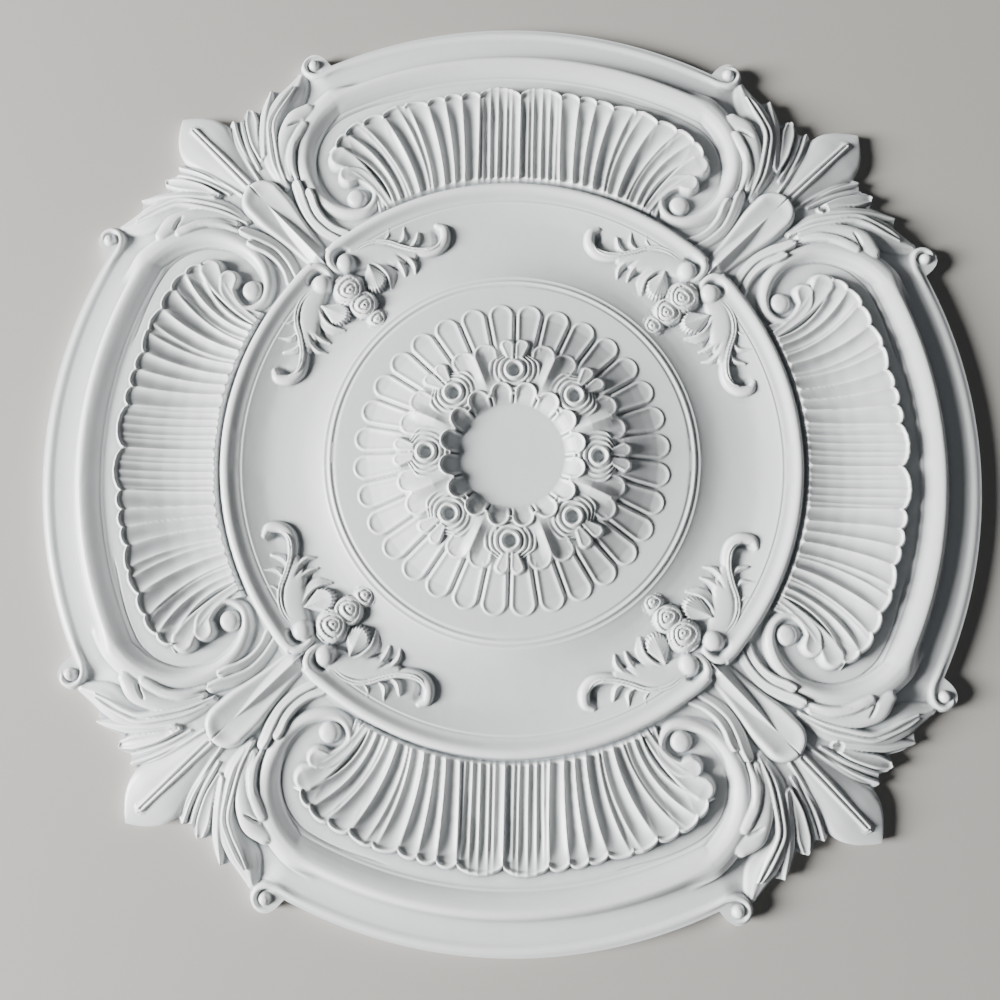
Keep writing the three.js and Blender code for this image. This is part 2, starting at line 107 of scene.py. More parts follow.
def nearLine(x, y, path, reach):  # the points near a line: how far to its left, beyond its ends and along it
    line, shares = curveThrough(path)
    low, high = line.min(0) - reach, line.max(0) + reach
    near = np.flatnonzero((x > low[0]) & (x < high[0]) & (y > low[1]) & (y < high[1]))
    if not len(near):
        return near, None, None, None
    point = np.stack([x[near], y[near]], 1)
    nearest = np.empty(len(near), int)
    atOnce = 20000
    for start in range(0, len(near), atOnce):
        block = point[start:start + atOnce]
        square = (block ** 2).sum(1)[:, None] - 2 * block @ line.T + (line ** 2).sum(1)
        nearest[start:start + atOnce] = square.argmin(1)
    tangent = np.gradient(line, axis=0)
    length = np.hypot(*tangent.T)
    tangent /= length[:, None]
    offset = point - line[nearest]
    forward = (offset * tangent[nearest]).sum(1)
    left = tangent[nearest, 0] * offset[:, 1] - tangent[nearest, 1] * offset[:, 0]
    share = shares[nearest] + forward / length[nearest] * np.gradient(shares)[nearest]
    beforeStart = np.where((nearest == 0) & (forward < 0), -forward, 0)
    afterEnd = np.where((nearest == len(line) - 1) & (forward > 0), forward, 0)
    return near, left, beforeStart + afterEnd, np.clip(share, 0, 1)


sections = {  # drop below the crest, from the left edge at -1 to the right edge at 1
    "round": [(-1, 1), (-0.92, 0.62), (-0.75, 0.32), (-0.5, 0.12), (-0.25, 0.03), (0, 0), (0.25, 0.03),
              (0.5, 0.12), (0.75, 0.32), (0.92, 0.62), (1, 1)],
    "ridge": [(-1, 1), (-0.5, 0.55), (0, 0), (0.5, 0.55), (1, 1)],
    "hollow": [(-1, 1), (-0.88, 0.12), (-0.74, 0), (-0.4, 0.3), (0, 0.42), (0.4, 0.3), (0.74, 0),
               (0.88, 0.12), (1, 1)],
    "leftEdge": [(-1, 1), (-0.86, 0.15), (-0.7, 0), (-0.3, 0.35), (0.2, 0.65), (0.7, 0.85), (1, 1)],
}
wallSlope = 2.6
sectionBlur = 0.12


def smoothstep(share):
    return share * share * (3 - 2 * share)


def smoothMax(a, b, ease):
    gap = np.clip(0.5 + 0.5 * (b - a) / ease, 0, 1)
    return a + (b - a) * gap + ease * gap * (1 - gap)


def lay(relief, x, y, form, ease=0.7):  # add a form that lies along a path
    left, right = form.get("left", form.get("width")), form.get("right", form.get("width"))
    beyondSides = 8
    near, side, beyond, share = nearLine(x, y, form["path"], max(np.max(left), np.max(right)) + beyondSides)
    if not len(near):
        return
    width = np.where(side > 0, spread(left, share), spread(right, share))
    across = np.sign(side) * np.hypot(side, beyond) / width
    section = sections[form.get("section", "round")]
    depth = spread(form.get("depth", 3.0), share)
    drop = np.interp(np.clip(-across, -1, 1), *easedTable(*zip(*section), sectionBlur)) * depth
    outside = np.maximum(np.hypot(side, beyond) - width, 0)
    height = spread(form["height"], share) - drop - wallSlope * outside
    relief[near] = smoothMax(relief[near], height, form.get("ease", ease))


def cut(relief, x, y, form):  # a groove or crease along a path, fading at both ends
    steepness = 1.6
    near, side, beyond, share = nearLine(x, y, form["path"], np.max(form["width"]) * 2 + 1)
    if not len(near):
        return
    across = np.hypot(side, beyond) / spread(form["width"], share)
    fade = np.minimum(1, np.minimum(share, 1 - share) / form.get("fade", 0.12))
    relief[near] -= spread(form["depth"], share) * fade * np.exp(-(across ** 2) * steepness)


def dome(relief, x, y, form):  # a round form turned about its centre
    beyondEdge, soften, ease = 6, 0.5, 0.6
    edge = form["section"][-1][0]
    distance = np.hypot(x - form["centre"][0], y - form["centre"][1])
    near = np.flatnonzero(distance < edge + beyondEdge)
    height = profile(form["section"], distance[near], soften)
    height = height - wallSlope * np.maximum(distance[near] - edge, 0)
    relief[near] = smoothMax(relief[near], height, ease)


rose = {
    "lobeRadius": 450, "tipRadius": 487, "discRadius": 49, "discHeight": 36.2,
    "bossEdge": 152.0, "fieldEdge": 279.2,  # circles where two pieces meet
}
bodySection = [
    (0, 27.2), (167.5, 27.2), (168.6, 26.4), (170, 26.3), (171.5, 27.3), (173, 27.2), (174.4, 25.6),
    (176.5, 25.5), (177.6, 26), (178.6, 25.2), (182, 24), (191, 21.5), (200, 20), (212, 19.2), (221, 19),
    (230, 19.2), (236, 19.7), (246, 21.8), (254, 24), (256, 24.8), (257, 23.9), (258, 24.8), (262, 25.4),
    (263.5, 26), (268, 28.6), (270, 29), (272, 28.8), (274, 27.6), (276, 24), (277.5, 20.5), (280, 19.3),
    (388, 19.3),
]
gapSection = [(240, 40), (251, 23.4), (258, 23.6), (266, 22), (273, 20), (281, 19.3)]  # where the ring opens
lobeSection = [
    (370, 19.3), (388, 19.3), (389.3, 20.4), (390.2, 20.6), (391, 20.1), (392.5, 21.4), (397, 24.4),
    (402, 26.6), (406, 27.5), (408.5, 27.1), (411, 25.3), (414, 20.6), (417, 15.4), (419, 13.2),
    (424, 12.4), (432, 12.1), (439, 12.3), (441, 13.3), (443.5, 13.8), (446, 13.3), (447.5, 12.4),
    (451, 12),
]
cornerSection = [(370, 19.3), (388, 19), (400, 16.5), (412, 13.5), (440, 8.5), (488, 7.4)]
body = {
    "cornerFrom": 27, "cornerBlend": 2.5,  # degrees where a lobe gives way to the leaves
    "opening": 5, "openingBlend": 6, "openingReach": 279, "outerFrom": 380,
}


def bodyRelief(x, y):
    radius = np.hypot(x, y)
    angle = np.degrees(np.arctan2(y, x))
    share = smoothstep(np.clip((angle - body["cornerFrom"]) / body["cornerBlend"], 0, 1))
    outer = profile(lobeSection, radius) * (1 - share) + profile(cornerSection, radius) * share
    turned = profile(bodySection, radius)
    opening = np.clip(((x - y) * diagonal - body["opening"]) / body["openingBlend"], 0, 1) ** 2
    lowered = np.minimum(turned, profile(gapSection, radius))
    turned = np.where(radius > body["openingReach"], turned, lowered + (turned - lowered) * opening)
    return np.where(radius < body["outerFrom"], turned, outer)


boss = {"ground": 27.2, "top": 47.4, "turn": 22.5}  # it mirrors after each turn, in degrees
longPetal = {
    "turn": 11.25, "tip": 138, "gap": 1.9, "sunk": 0.5, "rim": 2.5, "rimWidth": 5.5, "fall": 1.5,
    "fallFrom": 1.5, "edgeReach": 2.2, "valley": 2.6,
    "section": [(60, 36), (96, 39), (104, 38.6), (110, 37.1), (128, 31.3), (137, 28.9), (143, 28.2),
                (150, 27.6)],
}
broadPetal = {
    "tip": 98, "middle": 11, "sunk": 1.4, "rim": 2.4, "rimWidth": 4, "fall": 1.7, "fallFrom": 1.3,
    "ridge": 4.8, "ridgeWidth": 10, "ridgePower": 1.4, "ridgeStart": 62, "ridgeRise": 16, "ridgeEnd": 109,
    "ridgeFall": 12,
    "section": [(58, 46.4), (68, 45.4), (84, 43.8), (92, 42.6), (98, 41.2), (104, 39.8), (110, 38.6)],
}
rosette = {
    "place": 80, "cup": 11.2, "cupWall": 2.2, "cupKept": 10.6, "stretch": 0.9, "pinchFrom": 6,
    "pinchOver": 12, "height": 46.2, "slope": 0.14, "bow": 0.012, "bowReach": 40, "arc": 1.25,
    "firstArc": 13.6, "arcSpacing": 4.6, "edge": 24.6, "wall": 2.4,
    "section": [(0, 39.5), (4, 39.6), (5.4, 41), (6.8, 46), (8, 47), (9.2, 46.2), (10.4, 43.2), (11.2, 43)],
}
leaflet = {  # the pair outside each rosette
    "from": 10, "shownFrom": 11, "tip": 24, "base": 12, "middle": 4.3, "spreading": 0.235, "halfWidth": 3.7,
    "widening": 0.225, "tipMiddle": 7.1, "tipRadius": 6.3, "height": 43.9, "slope": 0.2, "rim": 1.6,
    "rimWidth": 3.6, "fall": 2.2, "fallFrom": 1.1,
}
innerPetal = {
    "tip": 58.2, "gap": 0.3, "crest": 57, "rise": 7, "rim": 3, "rimPlace": 1.8, "rimWidth": 1.5,
    "fall": 2.2, "fallFrom": 1.3, "kept": 1.2,
    "section": [(47, 36.2), (49.2, 36.3), (52, 37.6), (56, 40.4), (60, 42.6), (64, 43.9), (70, 44.5)],
}


def petalEdge(along, side, tip, halfWidth, tipRadius):  # how far inside a round-ended petal a point lies
    return np.where(along > tip, tipRadius - np.hypot(along - tip, side), halfWidth - side)


def raisedRim(petal, edge):
    return petal["rim"] * np.clip(1 - edge / petal["rimWidth"], 0, 1) ** 2


def fallOutside(petal, edge):
    return petal["fall"] * np.clip(petal["fallFrom"] - edge, 0, None)


def longPetals(height, radius, fold):
    turn = np.radians(fold % longPetal["turn"] - longPetal["turn"] / 2)
    along, side = radius * np.cos(turn), np.abs(radius * np.sin(turn))
    flare, tip, gap = math.tan(math.radians(longPetal["turn"] / 2)), longPetal["tip"], longPetal["gap"]
    edge = petalEdge(along, side, tip, along * flare - gap, tip * flare - gap)
    cone = profile(longPetal["section"], along) - longPetal["sunk"]
    petal = cone + raisedRim(longPetal, edge) - fallOutside(longPetal, edge)
    height = np.maximum(height, np.where(edge > -longPetal["edgeReach"], petal, -1))
    between = (edge < -0.01) & (along < tip)
    return np.where(between, np.maximum(height, cone - longPetal["valley"]), height)


def broadPetals(height, radius, fold):
    turn = np.radians(boss["turn"] - fold)
    along, side = radius * np.cos(turn), radius * np.sin(turn)
    tip, middle = broadPetal["tip"], broadPetal["middle"]
    roundEnd = middle - np.hypot(along - tip, side - middle)
    edge = np.where(along > tip, roundEnd, 2 * middle * along / tip - side)
    narrowing = np.clip(1 - side / broadPetal["ridgeWidth"], 0, 1)
    ridge = broadPetal["ridge"] * narrowing ** broadPetal["ridgePower"]
    ridge = ridge * np.clip((broadPetal["ridgeEnd"] - along) / broadPetal["ridgeFall"], 0, 1)
    ridge = ridge * np.clip((along - broadPetal["ridgeStart"]) / broadPetal["ridgeRise"], 0, 1)
    petal = profile(broadPetal["section"], along) - broadPetal["sunk"] + ridge + raisedRim(broadPetal, edge)
    return smoothMax(height, petal - fallOutside(broadPetal, edge), 0.5)


def rosettes(height, out, side):  # a cup in a sheath of arcs
    distance = np.hypot(out, side)
    pinch = 1 + np.clip((out - rosette["pinchFrom"]) / rosette["pinchOver"], 0, 2) ** 2
    bell = np.hypot(np.where(out > 0, out * rosette["stretch"], out), side * pinch)
    cup = profile(rosette["section"], distance, 0.4)
    cup = cup - rosette["cupWall"] * np.maximum(distance - rosette["cup"], 0)
    arcs = rosette["arc"] * np.cos(2 * np.pi * (bell - rosette["firstArc"]) / rosette["arcSpacing"])
    bowed = rosette["bow"] * np.clip(out, 0, rosette["bowReach"]) ** 2
    sheath = rosette["height"] - rosette["slope"] * bell - bowed + arcs
    sheath -= rosette["wall"] * np.maximum(bell - rosette["edge"], 0)
    height = smoothMax(height, np.where(bell > rosette["cup"], sheath, cup), 0.3)
    return np.where(distance < rosette["cupKept"], cup, height)


def leaflets(height, out, side):
    tip = leaflet["tip"]
    along = np.clip(out, leaflet["from"], tip) - leaflet["base"]
    middle = leaflet["middle"] + leaflet["spreading"] * along
    halfWidth = leaflet["halfWidth"] + leaflet["widening"] * along
    roundEnd = leaflet["tipRadius"] - np.hypot(out - tip, side - leaflet["tipMiddle"])
    edge = np.where(out > tip, roundEnd, halfWidth - np.abs(side - middle))
    surface = leaflet["height"] - leaflet["slope"] * (out - leaflet["from"])
    surface = surface + raisedRim(leaflet, edge) - fallOutside(leaflet, edge)
    return smoothMax(height, np.where(out > leaflet["shownFrom"], surface, -1), 0.4)


def innerPetals(height, radius, fold):
    half = boss["turn"] / 2
    turn = np.radians(fold - half)
    along, side = radius * np.cos(turn), np.abs(radius * np.sin(turn))
    flare, tip, gap = math.tan(math.radians(half)), innerPetal["tip"], innerPetal["gap"]
    edge = petalEdge(along, side, tip, along * flare - gap, tip * flare - gap)
    lift = np.clip((radius - rose["discRadius"]) / innerPetal["rise"], 0, 1)
    rim = np.exp(-((edge - innerPetal["rimPlace"]) / innerPetal["rimWidth"]) ** 2)
    petal = profile(innerPetal["section"], along, 0.6) + lift * innerPetal["rim"] * rim
    petal -= lift * innerPetal["fall"] * np.clip(innerPetal["fallFrom"] - edge, 0, None)
    bare = (radius < innerPetal["crest"]) | (edge > innerPetal["kept"])
    return np.where(bare, petal, smoothMax(height, petal, 0.4))


def bossRelief(x, y):
    radius = np.hypot(x, y)
    angle = np.degrees(np.arctan2(y, x))
    fold = boss["turn"] - np.abs(boss["turn"] - angle)
    out = radius * np.cos(np.radians(fold)) - rosette["place"]
    side = radius * np.sin(np.radians(fold))
    height = longPetals(np.full_like(radius, boss["ground"]), radius, fold)
    height = broadPetals(height, radius, fold)
    height = rosettes(height, out, side)
    height = leaflets(height, out, side)
    height = innerPetals(height, radius, fold)
    return np.where(radius < rose["discRadius"], rose["discHeight"], np.minimum(height, boss["top"]))


shell = {
    "root": 280, "depth": 6, "relief": 0.68, "bead": 2, "beadWidth": 4.4, "bulgePower": 0.6,
    "lipFadeFrom": 0.7, "lipFadeOver": 0.25, "lipFade": 0.75, "rootFadeFrom": 278, "rootFadeOver": 5,
    "rootKept": 0.3, "footSlope": 1.8, "footReach": 1.5,
}
ribs = [  # degrees where a rib leaves the ring, where it ends on the lip, its sag, and its strength
    (0, (367, 0), 0, 1), (1.75, (360, 8.5), 0, 0.55), (2.8, (360, 13.5), 0, 0.5), (4.4, (366, 22), 0, 0.6),
    (5.9, (364, 30), 0, 0.7), (7.2, (361, 37.2), 0, 0.8), (8.3, (365, 41), 0.3, 1), (10.9, (363, 59), 1, 1),
    (12.9, (361, 76), 2, 1), (15, (355, 93), 3, 1), (17.4, (346, 109), 4, 0.75), (18.2, (337, 114), 4, 0.6),
    (20.2, (341, 137), 5, 1), (22.1, (331, 158), 7, 0.8), (22.9, (322, 151.5), 6, 0.6),
    (24.4, (321, 173), 9, 1), (25.9, (306, 181), 11, 1),
]
lipCusps = [(367, 0), (366, 41), (363, 59), (361, 76), (355, 93), (352.5, 116), (341, 137), (333.5, 156),
            (321, 173), (306, 181)]
lipBulges = [8.5, 5.5, 5, 4.5, 4, 4, 4.5, 4.5, 4.5]
shellSection = [(0, 25), (0.06, 23.6), (0.2, 21.6), (0.38, 20.6), (0.55, 21.4), (0.75, 24.2), (0.9, 27.4),
                (1, 29)]


def lipRadius(angle):  # the scalloped edge, an arc from each cusp to the next
    angles, radii = [], []
    for (ax, ay), (bx, by), bulge in zip(lipCusps, lipCusps[1:], lipBulges):
        s = np.linspace(0, 1, 24)
        out = bulge * (4 * s * (1 - s)) ** shell["bulgePower"]
        length = math.hypot(bx - ax, by - ay)
        px = ax + (bx - ax) * s + (by - ay) / length * out
        py = ay + (by - ay) * s - (bx - ax) / length * out
        angles += list(np.degrees(np.arctan2(py, px)))
        radii += list(np.hypot(px, py))
    order = np.argsort(angles)
    return np.interp(angle, np.array(angles)[order], np.array(radii)[order])


def ribAngles(radius):  # where each rib crosses each point's circle
    crossings = []
    for leaves, (ex, ey), sag, _ in ribs:
        s = np.linspace(-0.1, 1.5, 50)
        turn = math.radians(leaves)
        rx, ry = shell["root"] * math.cos(turn), shell["root"] * math.sin(turn)
        length = math.hypot(ex - rx, ey - ry)
        bend = 4 * s * (1 - s) * sag
        px = rx + (ex - rx) * s + (ey - ry) / length * bend
        py = ry + (ey - ry) * s - (ex - rx) / length * bend
        crossings.append(np.interp(radius, np.hypot(px, py), np.degrees(np.arctan2(py, px))))
    return np.stack(crossings)


def shellRelief(x, y):
    radius, angle = np.hypot(x, y), np.degrees(np.arctan2(y, x))
    lip, crossings = lipRadius(angle), ribAngles(radius)
    t = (radius - shell["root"]) / np.maximum(lip - shell["root"], 1)
    strength = np.array([rib[3] for rib in ribs])
    index = np.clip((crossings <= angle).sum(0) - 1, 0, len(ribs) - 2)
    column = np.arange(len(x))
    left, right = crossings[index, column], crossings[index + 1, column]
    share = np.clip((angle - left) / np.maximum(right - left, 1e-3), 0, 1)
    gaps = np.radians(np.diff(crossings, axis=0)) * radius  # width of each flute here
    ribDepth = np.minimum(shell["depth"], 0.25 * (np.vstack([gaps[:1], gaps]) + np.vstack([gaps, gaps[-1:]])))
    lipFade = np.clip((t - shell["lipFadeFrom"]) / shell["lipFadeOver"], 0, 1) ** 1.5
    rootFade = np.clip((radius - shell["rootFadeFrom"]) / shell["rootFadeOver"], shell["rootKept"], 1)
    fade = (1 - shell["lipFade"] * lipFade) * rootFade
    weak = strength[:, None] * ribDepth
    crest = weak[index, column] * (1 - share) + weak[index + 1, column] * share
    trough = np.minimum(shell["depth"], 0.5 * gaps[index, column]) * (1 - (2 * share - 1) ** 2)
    surface = np.interp(t, *easedTable(*zip(*shellSection), sectionBlur))
    height = surface + shell["relief"] * fade * (crest - trough)
    within = np.clip((lip - radius) / shell["beadWidth"], 0, 1)
    height += shell["bead"] * np.sin(np.pi * within) ** 2
    wall = np.hypot(np.maximum(radius - lip, 0), np.radians(np.maximum(angle - crossings[-1], 0)) * radius)
    return height - wallSlope * wall


shellEnds = [  # the last two lobes of the shell, beside the eye
    {"path": [(248, 125), (264, 136.5), (280, 151), (291, 165), (297, 177)], "left": [4, 4.6, 6.4, 9.5, 12],
     "right": [4, 4.6, 6.4, 9.4, 12], "height": [25, 24.4, 25.2, 27.2, 29.4], "depth": [3, 3.6, 4.4, 5, 5],
     "section": "flute"},
    {"path": [(243, 133), (257, 137.5), (271, 145), (280, 157), (279.5, 168.5)],
     "left": [3, 3.4, 4.4, 7, 10], "right": [3, 3.4, 5.4, 8, 10], "height": [24.4, 23.4, 24.4, 26, 28],
     "depth": [3, 3, 3.4, 4, 4.6], "section": "flute"},
]
sections["flute"] = [(-1, 1), (-0.88, 0.2), (-0.72, 0), (-0.4, 0.22), (0, 0.34), (0.4, 0.22), (0.72, 0),
                     (0.88, 0.2), (1, 1)]
scrollCuts = [
    {"path": [(372, 100), (366, 120), (361.5, 136), (355, 155), (345, 175), (335, 187.5), (320, 197.5),
              (300, 202.5), (277, 199.5), (262, 192), (252, 180), (248, 166)], "width": 1.1, "depth": 1.1,
     "fade": 0.06},
]
scrollForms = [
    {"path": [(383, 138), (375, 158), (361, 184), (341, 203), (316, 213), (290, 213), (266, 203),
              (250, 187), (242.5, 168), (244, 152), (252, 143.5), (263, 141.5), (273, 147), (277, 158),
              (273.5, 168)], "left": [11, 11, 12, 12.5, 12, 10.5, 9, 7.5, 6, 5, 4, 3.4, 3, 2.8, 2],
     "right": [14, 15.5, 15.5, 14, 12, 10.5, 9.5, 8.5, 7.5, 6.5, 5, 4, 3, 2.5, 2],
     "height": [27.4, 27.4, 27.4, 27.2, 27, 26.6, 26.2, 25.8, 25.4, 25, 24.6, 24.2, 23.8, 23.4, 22.4],
     "depth": [6.5, 6.5, 6.5, 6.5, 6.5, 6.5, 6.4, 6, 5.5, 5, 4, 3.5, 3, 2.5, 2], "section": "roll"},
]
sections["roll"] = [(-1, 1), (-0.75, 0.7), (-0.5, 0.3), (-0.15, 0.02), (0, 0), (0.3, 0.06), (0.6, 0.3),
                    (1, 1)]

cornerForms = [  # in the corner's frame: along the diagonal, then away from it
    # spear and its double rib
    {"path": [(376, 0), (400, 0), (420, 0), (447, 0), (462, 0), (474, 0), (487, 0)],
     "width": [11, 16.5, 20.5, 29, 26, 17, 2], "height": [21.5, 20, 18, 15, 12.5, 10.5, 8.6],
     "depth": [5, 6, 6.5, 6, 4, 2, 0.5], "section": "spear"},
    {"path": [(380, 0), (420, 0), (466, 0)], "width": [8, 7.6, 6], "height": [23.6, 21.2, 15],
     "depth": [4.4, 4.4, 3.2], "section": "doubleRib", "ease": 0.3},
    # leaf A, beside the spear
    {"path": [(376, 11), (398, 16.5), (424, 25), (447, 36.5)], "left": [3, 3.5, 3.2, 1.2],
     "right": [2, 4, 5.5, 5], "height": [22.5, 20.5, 17, 12.5], "depth": 4.5, "section": "leaf"},
    {"path": [(386, 19.5), (410, 26.5), (430, 35), (445, 44)], "left": [2.5, 3, 3.5, 2],
     "right": [2.5, 3.5, 4, 5], "height": [21.5, 18.5, 14.5, 10.5], "depth": 4, "section": "leaf"},
    # leaf B, hollow with a rounded tip
    {"path": [(393, 29), (412, 37), (432, 49), (443, 55.5)], "left": [3, 5, 6, 3.5], "right": [3, 6, 8, 5],
     "height": [22.5, 20.5, 16, 12.5], "depth": 3.6, "section": "hollow"},
    # leaf C
    {"path": [(392, 33), (413, 50), (430, 66), (447, 87)], "left": [2.5, 5.5, 8, 1],
     "right": [4, 6.5, 6, 2], "height": [23.5, 21, 17, 11.5], "depth": [3, 4, 4.5, 2], "section": "leaf"},
    # large leaf sweeping out to the curl of the rim
    {"path": [(352, 26), (380, 35), (403, 53), (417, 77), (424, 98), (437, 119)],
     "left": [3, 6, 7, 9, 12, 6], "right": [4, 9, 11, 15, 16, 5],
     "height": [23.5, 24.5, 23, 20.5, 17.5, 12.5], "depth": [3, 4, 5, 5.5, 5, 3], "section": "leaf"},
    # its two raised ribs
    {"path": [(350, 27), (372, 36), (392, 48.5), (409, 61), (417, 74), (423, 90), (430, 106)],
     "width": [1, 1.8, 2.2, 2.4, 2.3, 2, 1], "height": [24, 26.2, 26.5, 25, 23, 20.4, 17], "depth": 2.6,
     "section": "round", "ease": 0.5},
    {"path": [(360, 26), (380, 34), (400, 47), (416, 60), (424, 76), (430, 92), (433, 104)],
     "width": [1, 1.6, 2, 2.2, 2, 1.8, 1], "height": [23.5, 25.2, 25.2, 23, 20.6, 18.2, 15.5], "depth": 2.6,
     "section": "round", "ease": 0.5},
    # rounded lobes lying back over the roll
    {"path": [(360, 33), (378, 45), (392, 62), (399, 80), (397, 96)], "left": [3, 6, 9, 11, 8.5],
     "right": [4, 6, 8, 9, 7], "height": [24, 25.5, 27, 28, 27.2], "depth": [3, 4, 5, 5, 4.5],
     "section": "round"},
    {"path": [(356, 35), (370, 47), (379, 61), (384, 74), (386, 82)], "left": [3, 4.5, 5.5, 6, 5],
     "right": [3, 4.5, 5.5, 5, 4.5], "height": [25, 27.6, 29, 29.6, 29], "depth": [2.5, 3.5, 4, 4, 3.5],
     "section": "round"},
    {"path": [(350, 39), (362, 44.5), (372, 53), (378, 62)], "width": [2, 3.4, 3.6, 2],
     "height": [25, 27.4, 28.8, 29], "depth": [2, 3, 3, 2], "section": "round"},
    # tongue
    {"path": [(274, 0), (296, 0), (316, 0), (336, 0), (356, 0)], "width": [12, 14, 17.5, 21.5, 22],
     "height": [22, 22.6, 24, 26.4, 28.2], "depth": [4, 5, 6, 7, 7.6], "section": "hollow"},
    {"path": [(276, 0), (300, 0), (325, 0), (350, 0)], "width": [11, 8.5, 5.4, 0.8],
     "height": [29, 28.2, 27, 24.6], "depth": [8, 7, 5, 1], "section": "ridge", "ease": 0.3},
    # two fingers between the scroll and the tongue
    {"path": [(276, 26.5), (292, 22), (310, 21.5), (326, 26.5), (338, 32.5), (345, 35.5)],
     "left": [4.5, 5, 5, 5.5, 5.5, 4.5], "right": [4, 4.5, 5, 6, 6, 5.5],
     "height": [22.8, 23.2, 24.4, 26.6, 28.6, 29], "depth": [4, 4.4, 4.8, 5.4, 6, 6], "section": "finger"},
    {"path": [(275, 37), (287, 31.5), (301, 29.5), (314, 31.5), (324, 36), (330, 38)],
     "left": [4.5, 4.5, 4.5, 5, 5, 4.6], "right": [4, 4, 4.2, 4.6, 5, 5.4],
     "height": [23, 23.6, 24.8, 27, 29, 29.4], "depth": [4, 4.4, 4.8, 5.4, 6, 6], "section": "finger"},
]
sections["spear"] = [(-1, 1), (-0.9, 0.55), (-0.5, 0.12), (-0.2, 0), (0.2, 0), (0.5, 0.12), (0.9, 0.55),
                     (1, 1)]
sections["doubleRib"] = [(-1, 0.9), (-0.78, 1), (-0.66, 0.85), (-0.5, 0.15), (-0.32, 0), (-0.14, 0.15),
                         (0, 0.8), (0.14, 0.15), (0.32, 0), (0.5, 0.15), (0.66, 0.85), (0.78, 1), (1, 0.9)]
sections["leaf"] = [(-1, 1), (-0.8, 0.62), (-0.4, 0.36), (-0.12, 0.05), (0, 0), (0.12, 0.05), (0.4, 0.36),
                    (0.8, 0.62), (1, 1)]
sections["finger"] = [(-1, 1), (-0.86, 0.4), (-0.66, 0.08), (-0.48, 0), (-0.2, 0.1), (0.2, 0.28),
                      (0.6, 0.4), (0.85, 0.65), (1, 1)]
cornerCuts = [
    {"path": [(378, 13.5), (400, 17.5), (420, 22), (440, 29), (447, 31)], "width": 1.3, "depth": 1.6},
    {"path": [(384, 21), (410, 29), (430, 38), (442, 44)], "width": 1.2, "depth": 1.4},
    {"path": [(396, 31), (415, 43.5), (430, 56), (437, 60)], "width": 1.2, "depth": 1.6},
    {"path": [(391, 85), (394, 78), (396.5, 68)], "width": 1.5, "depth": 3, "fade": 0.3},
    {"path": [(352, 33), (372, 45), (384, 62), (388, 76)], "width": 1.2, "depth": 1.2},
]

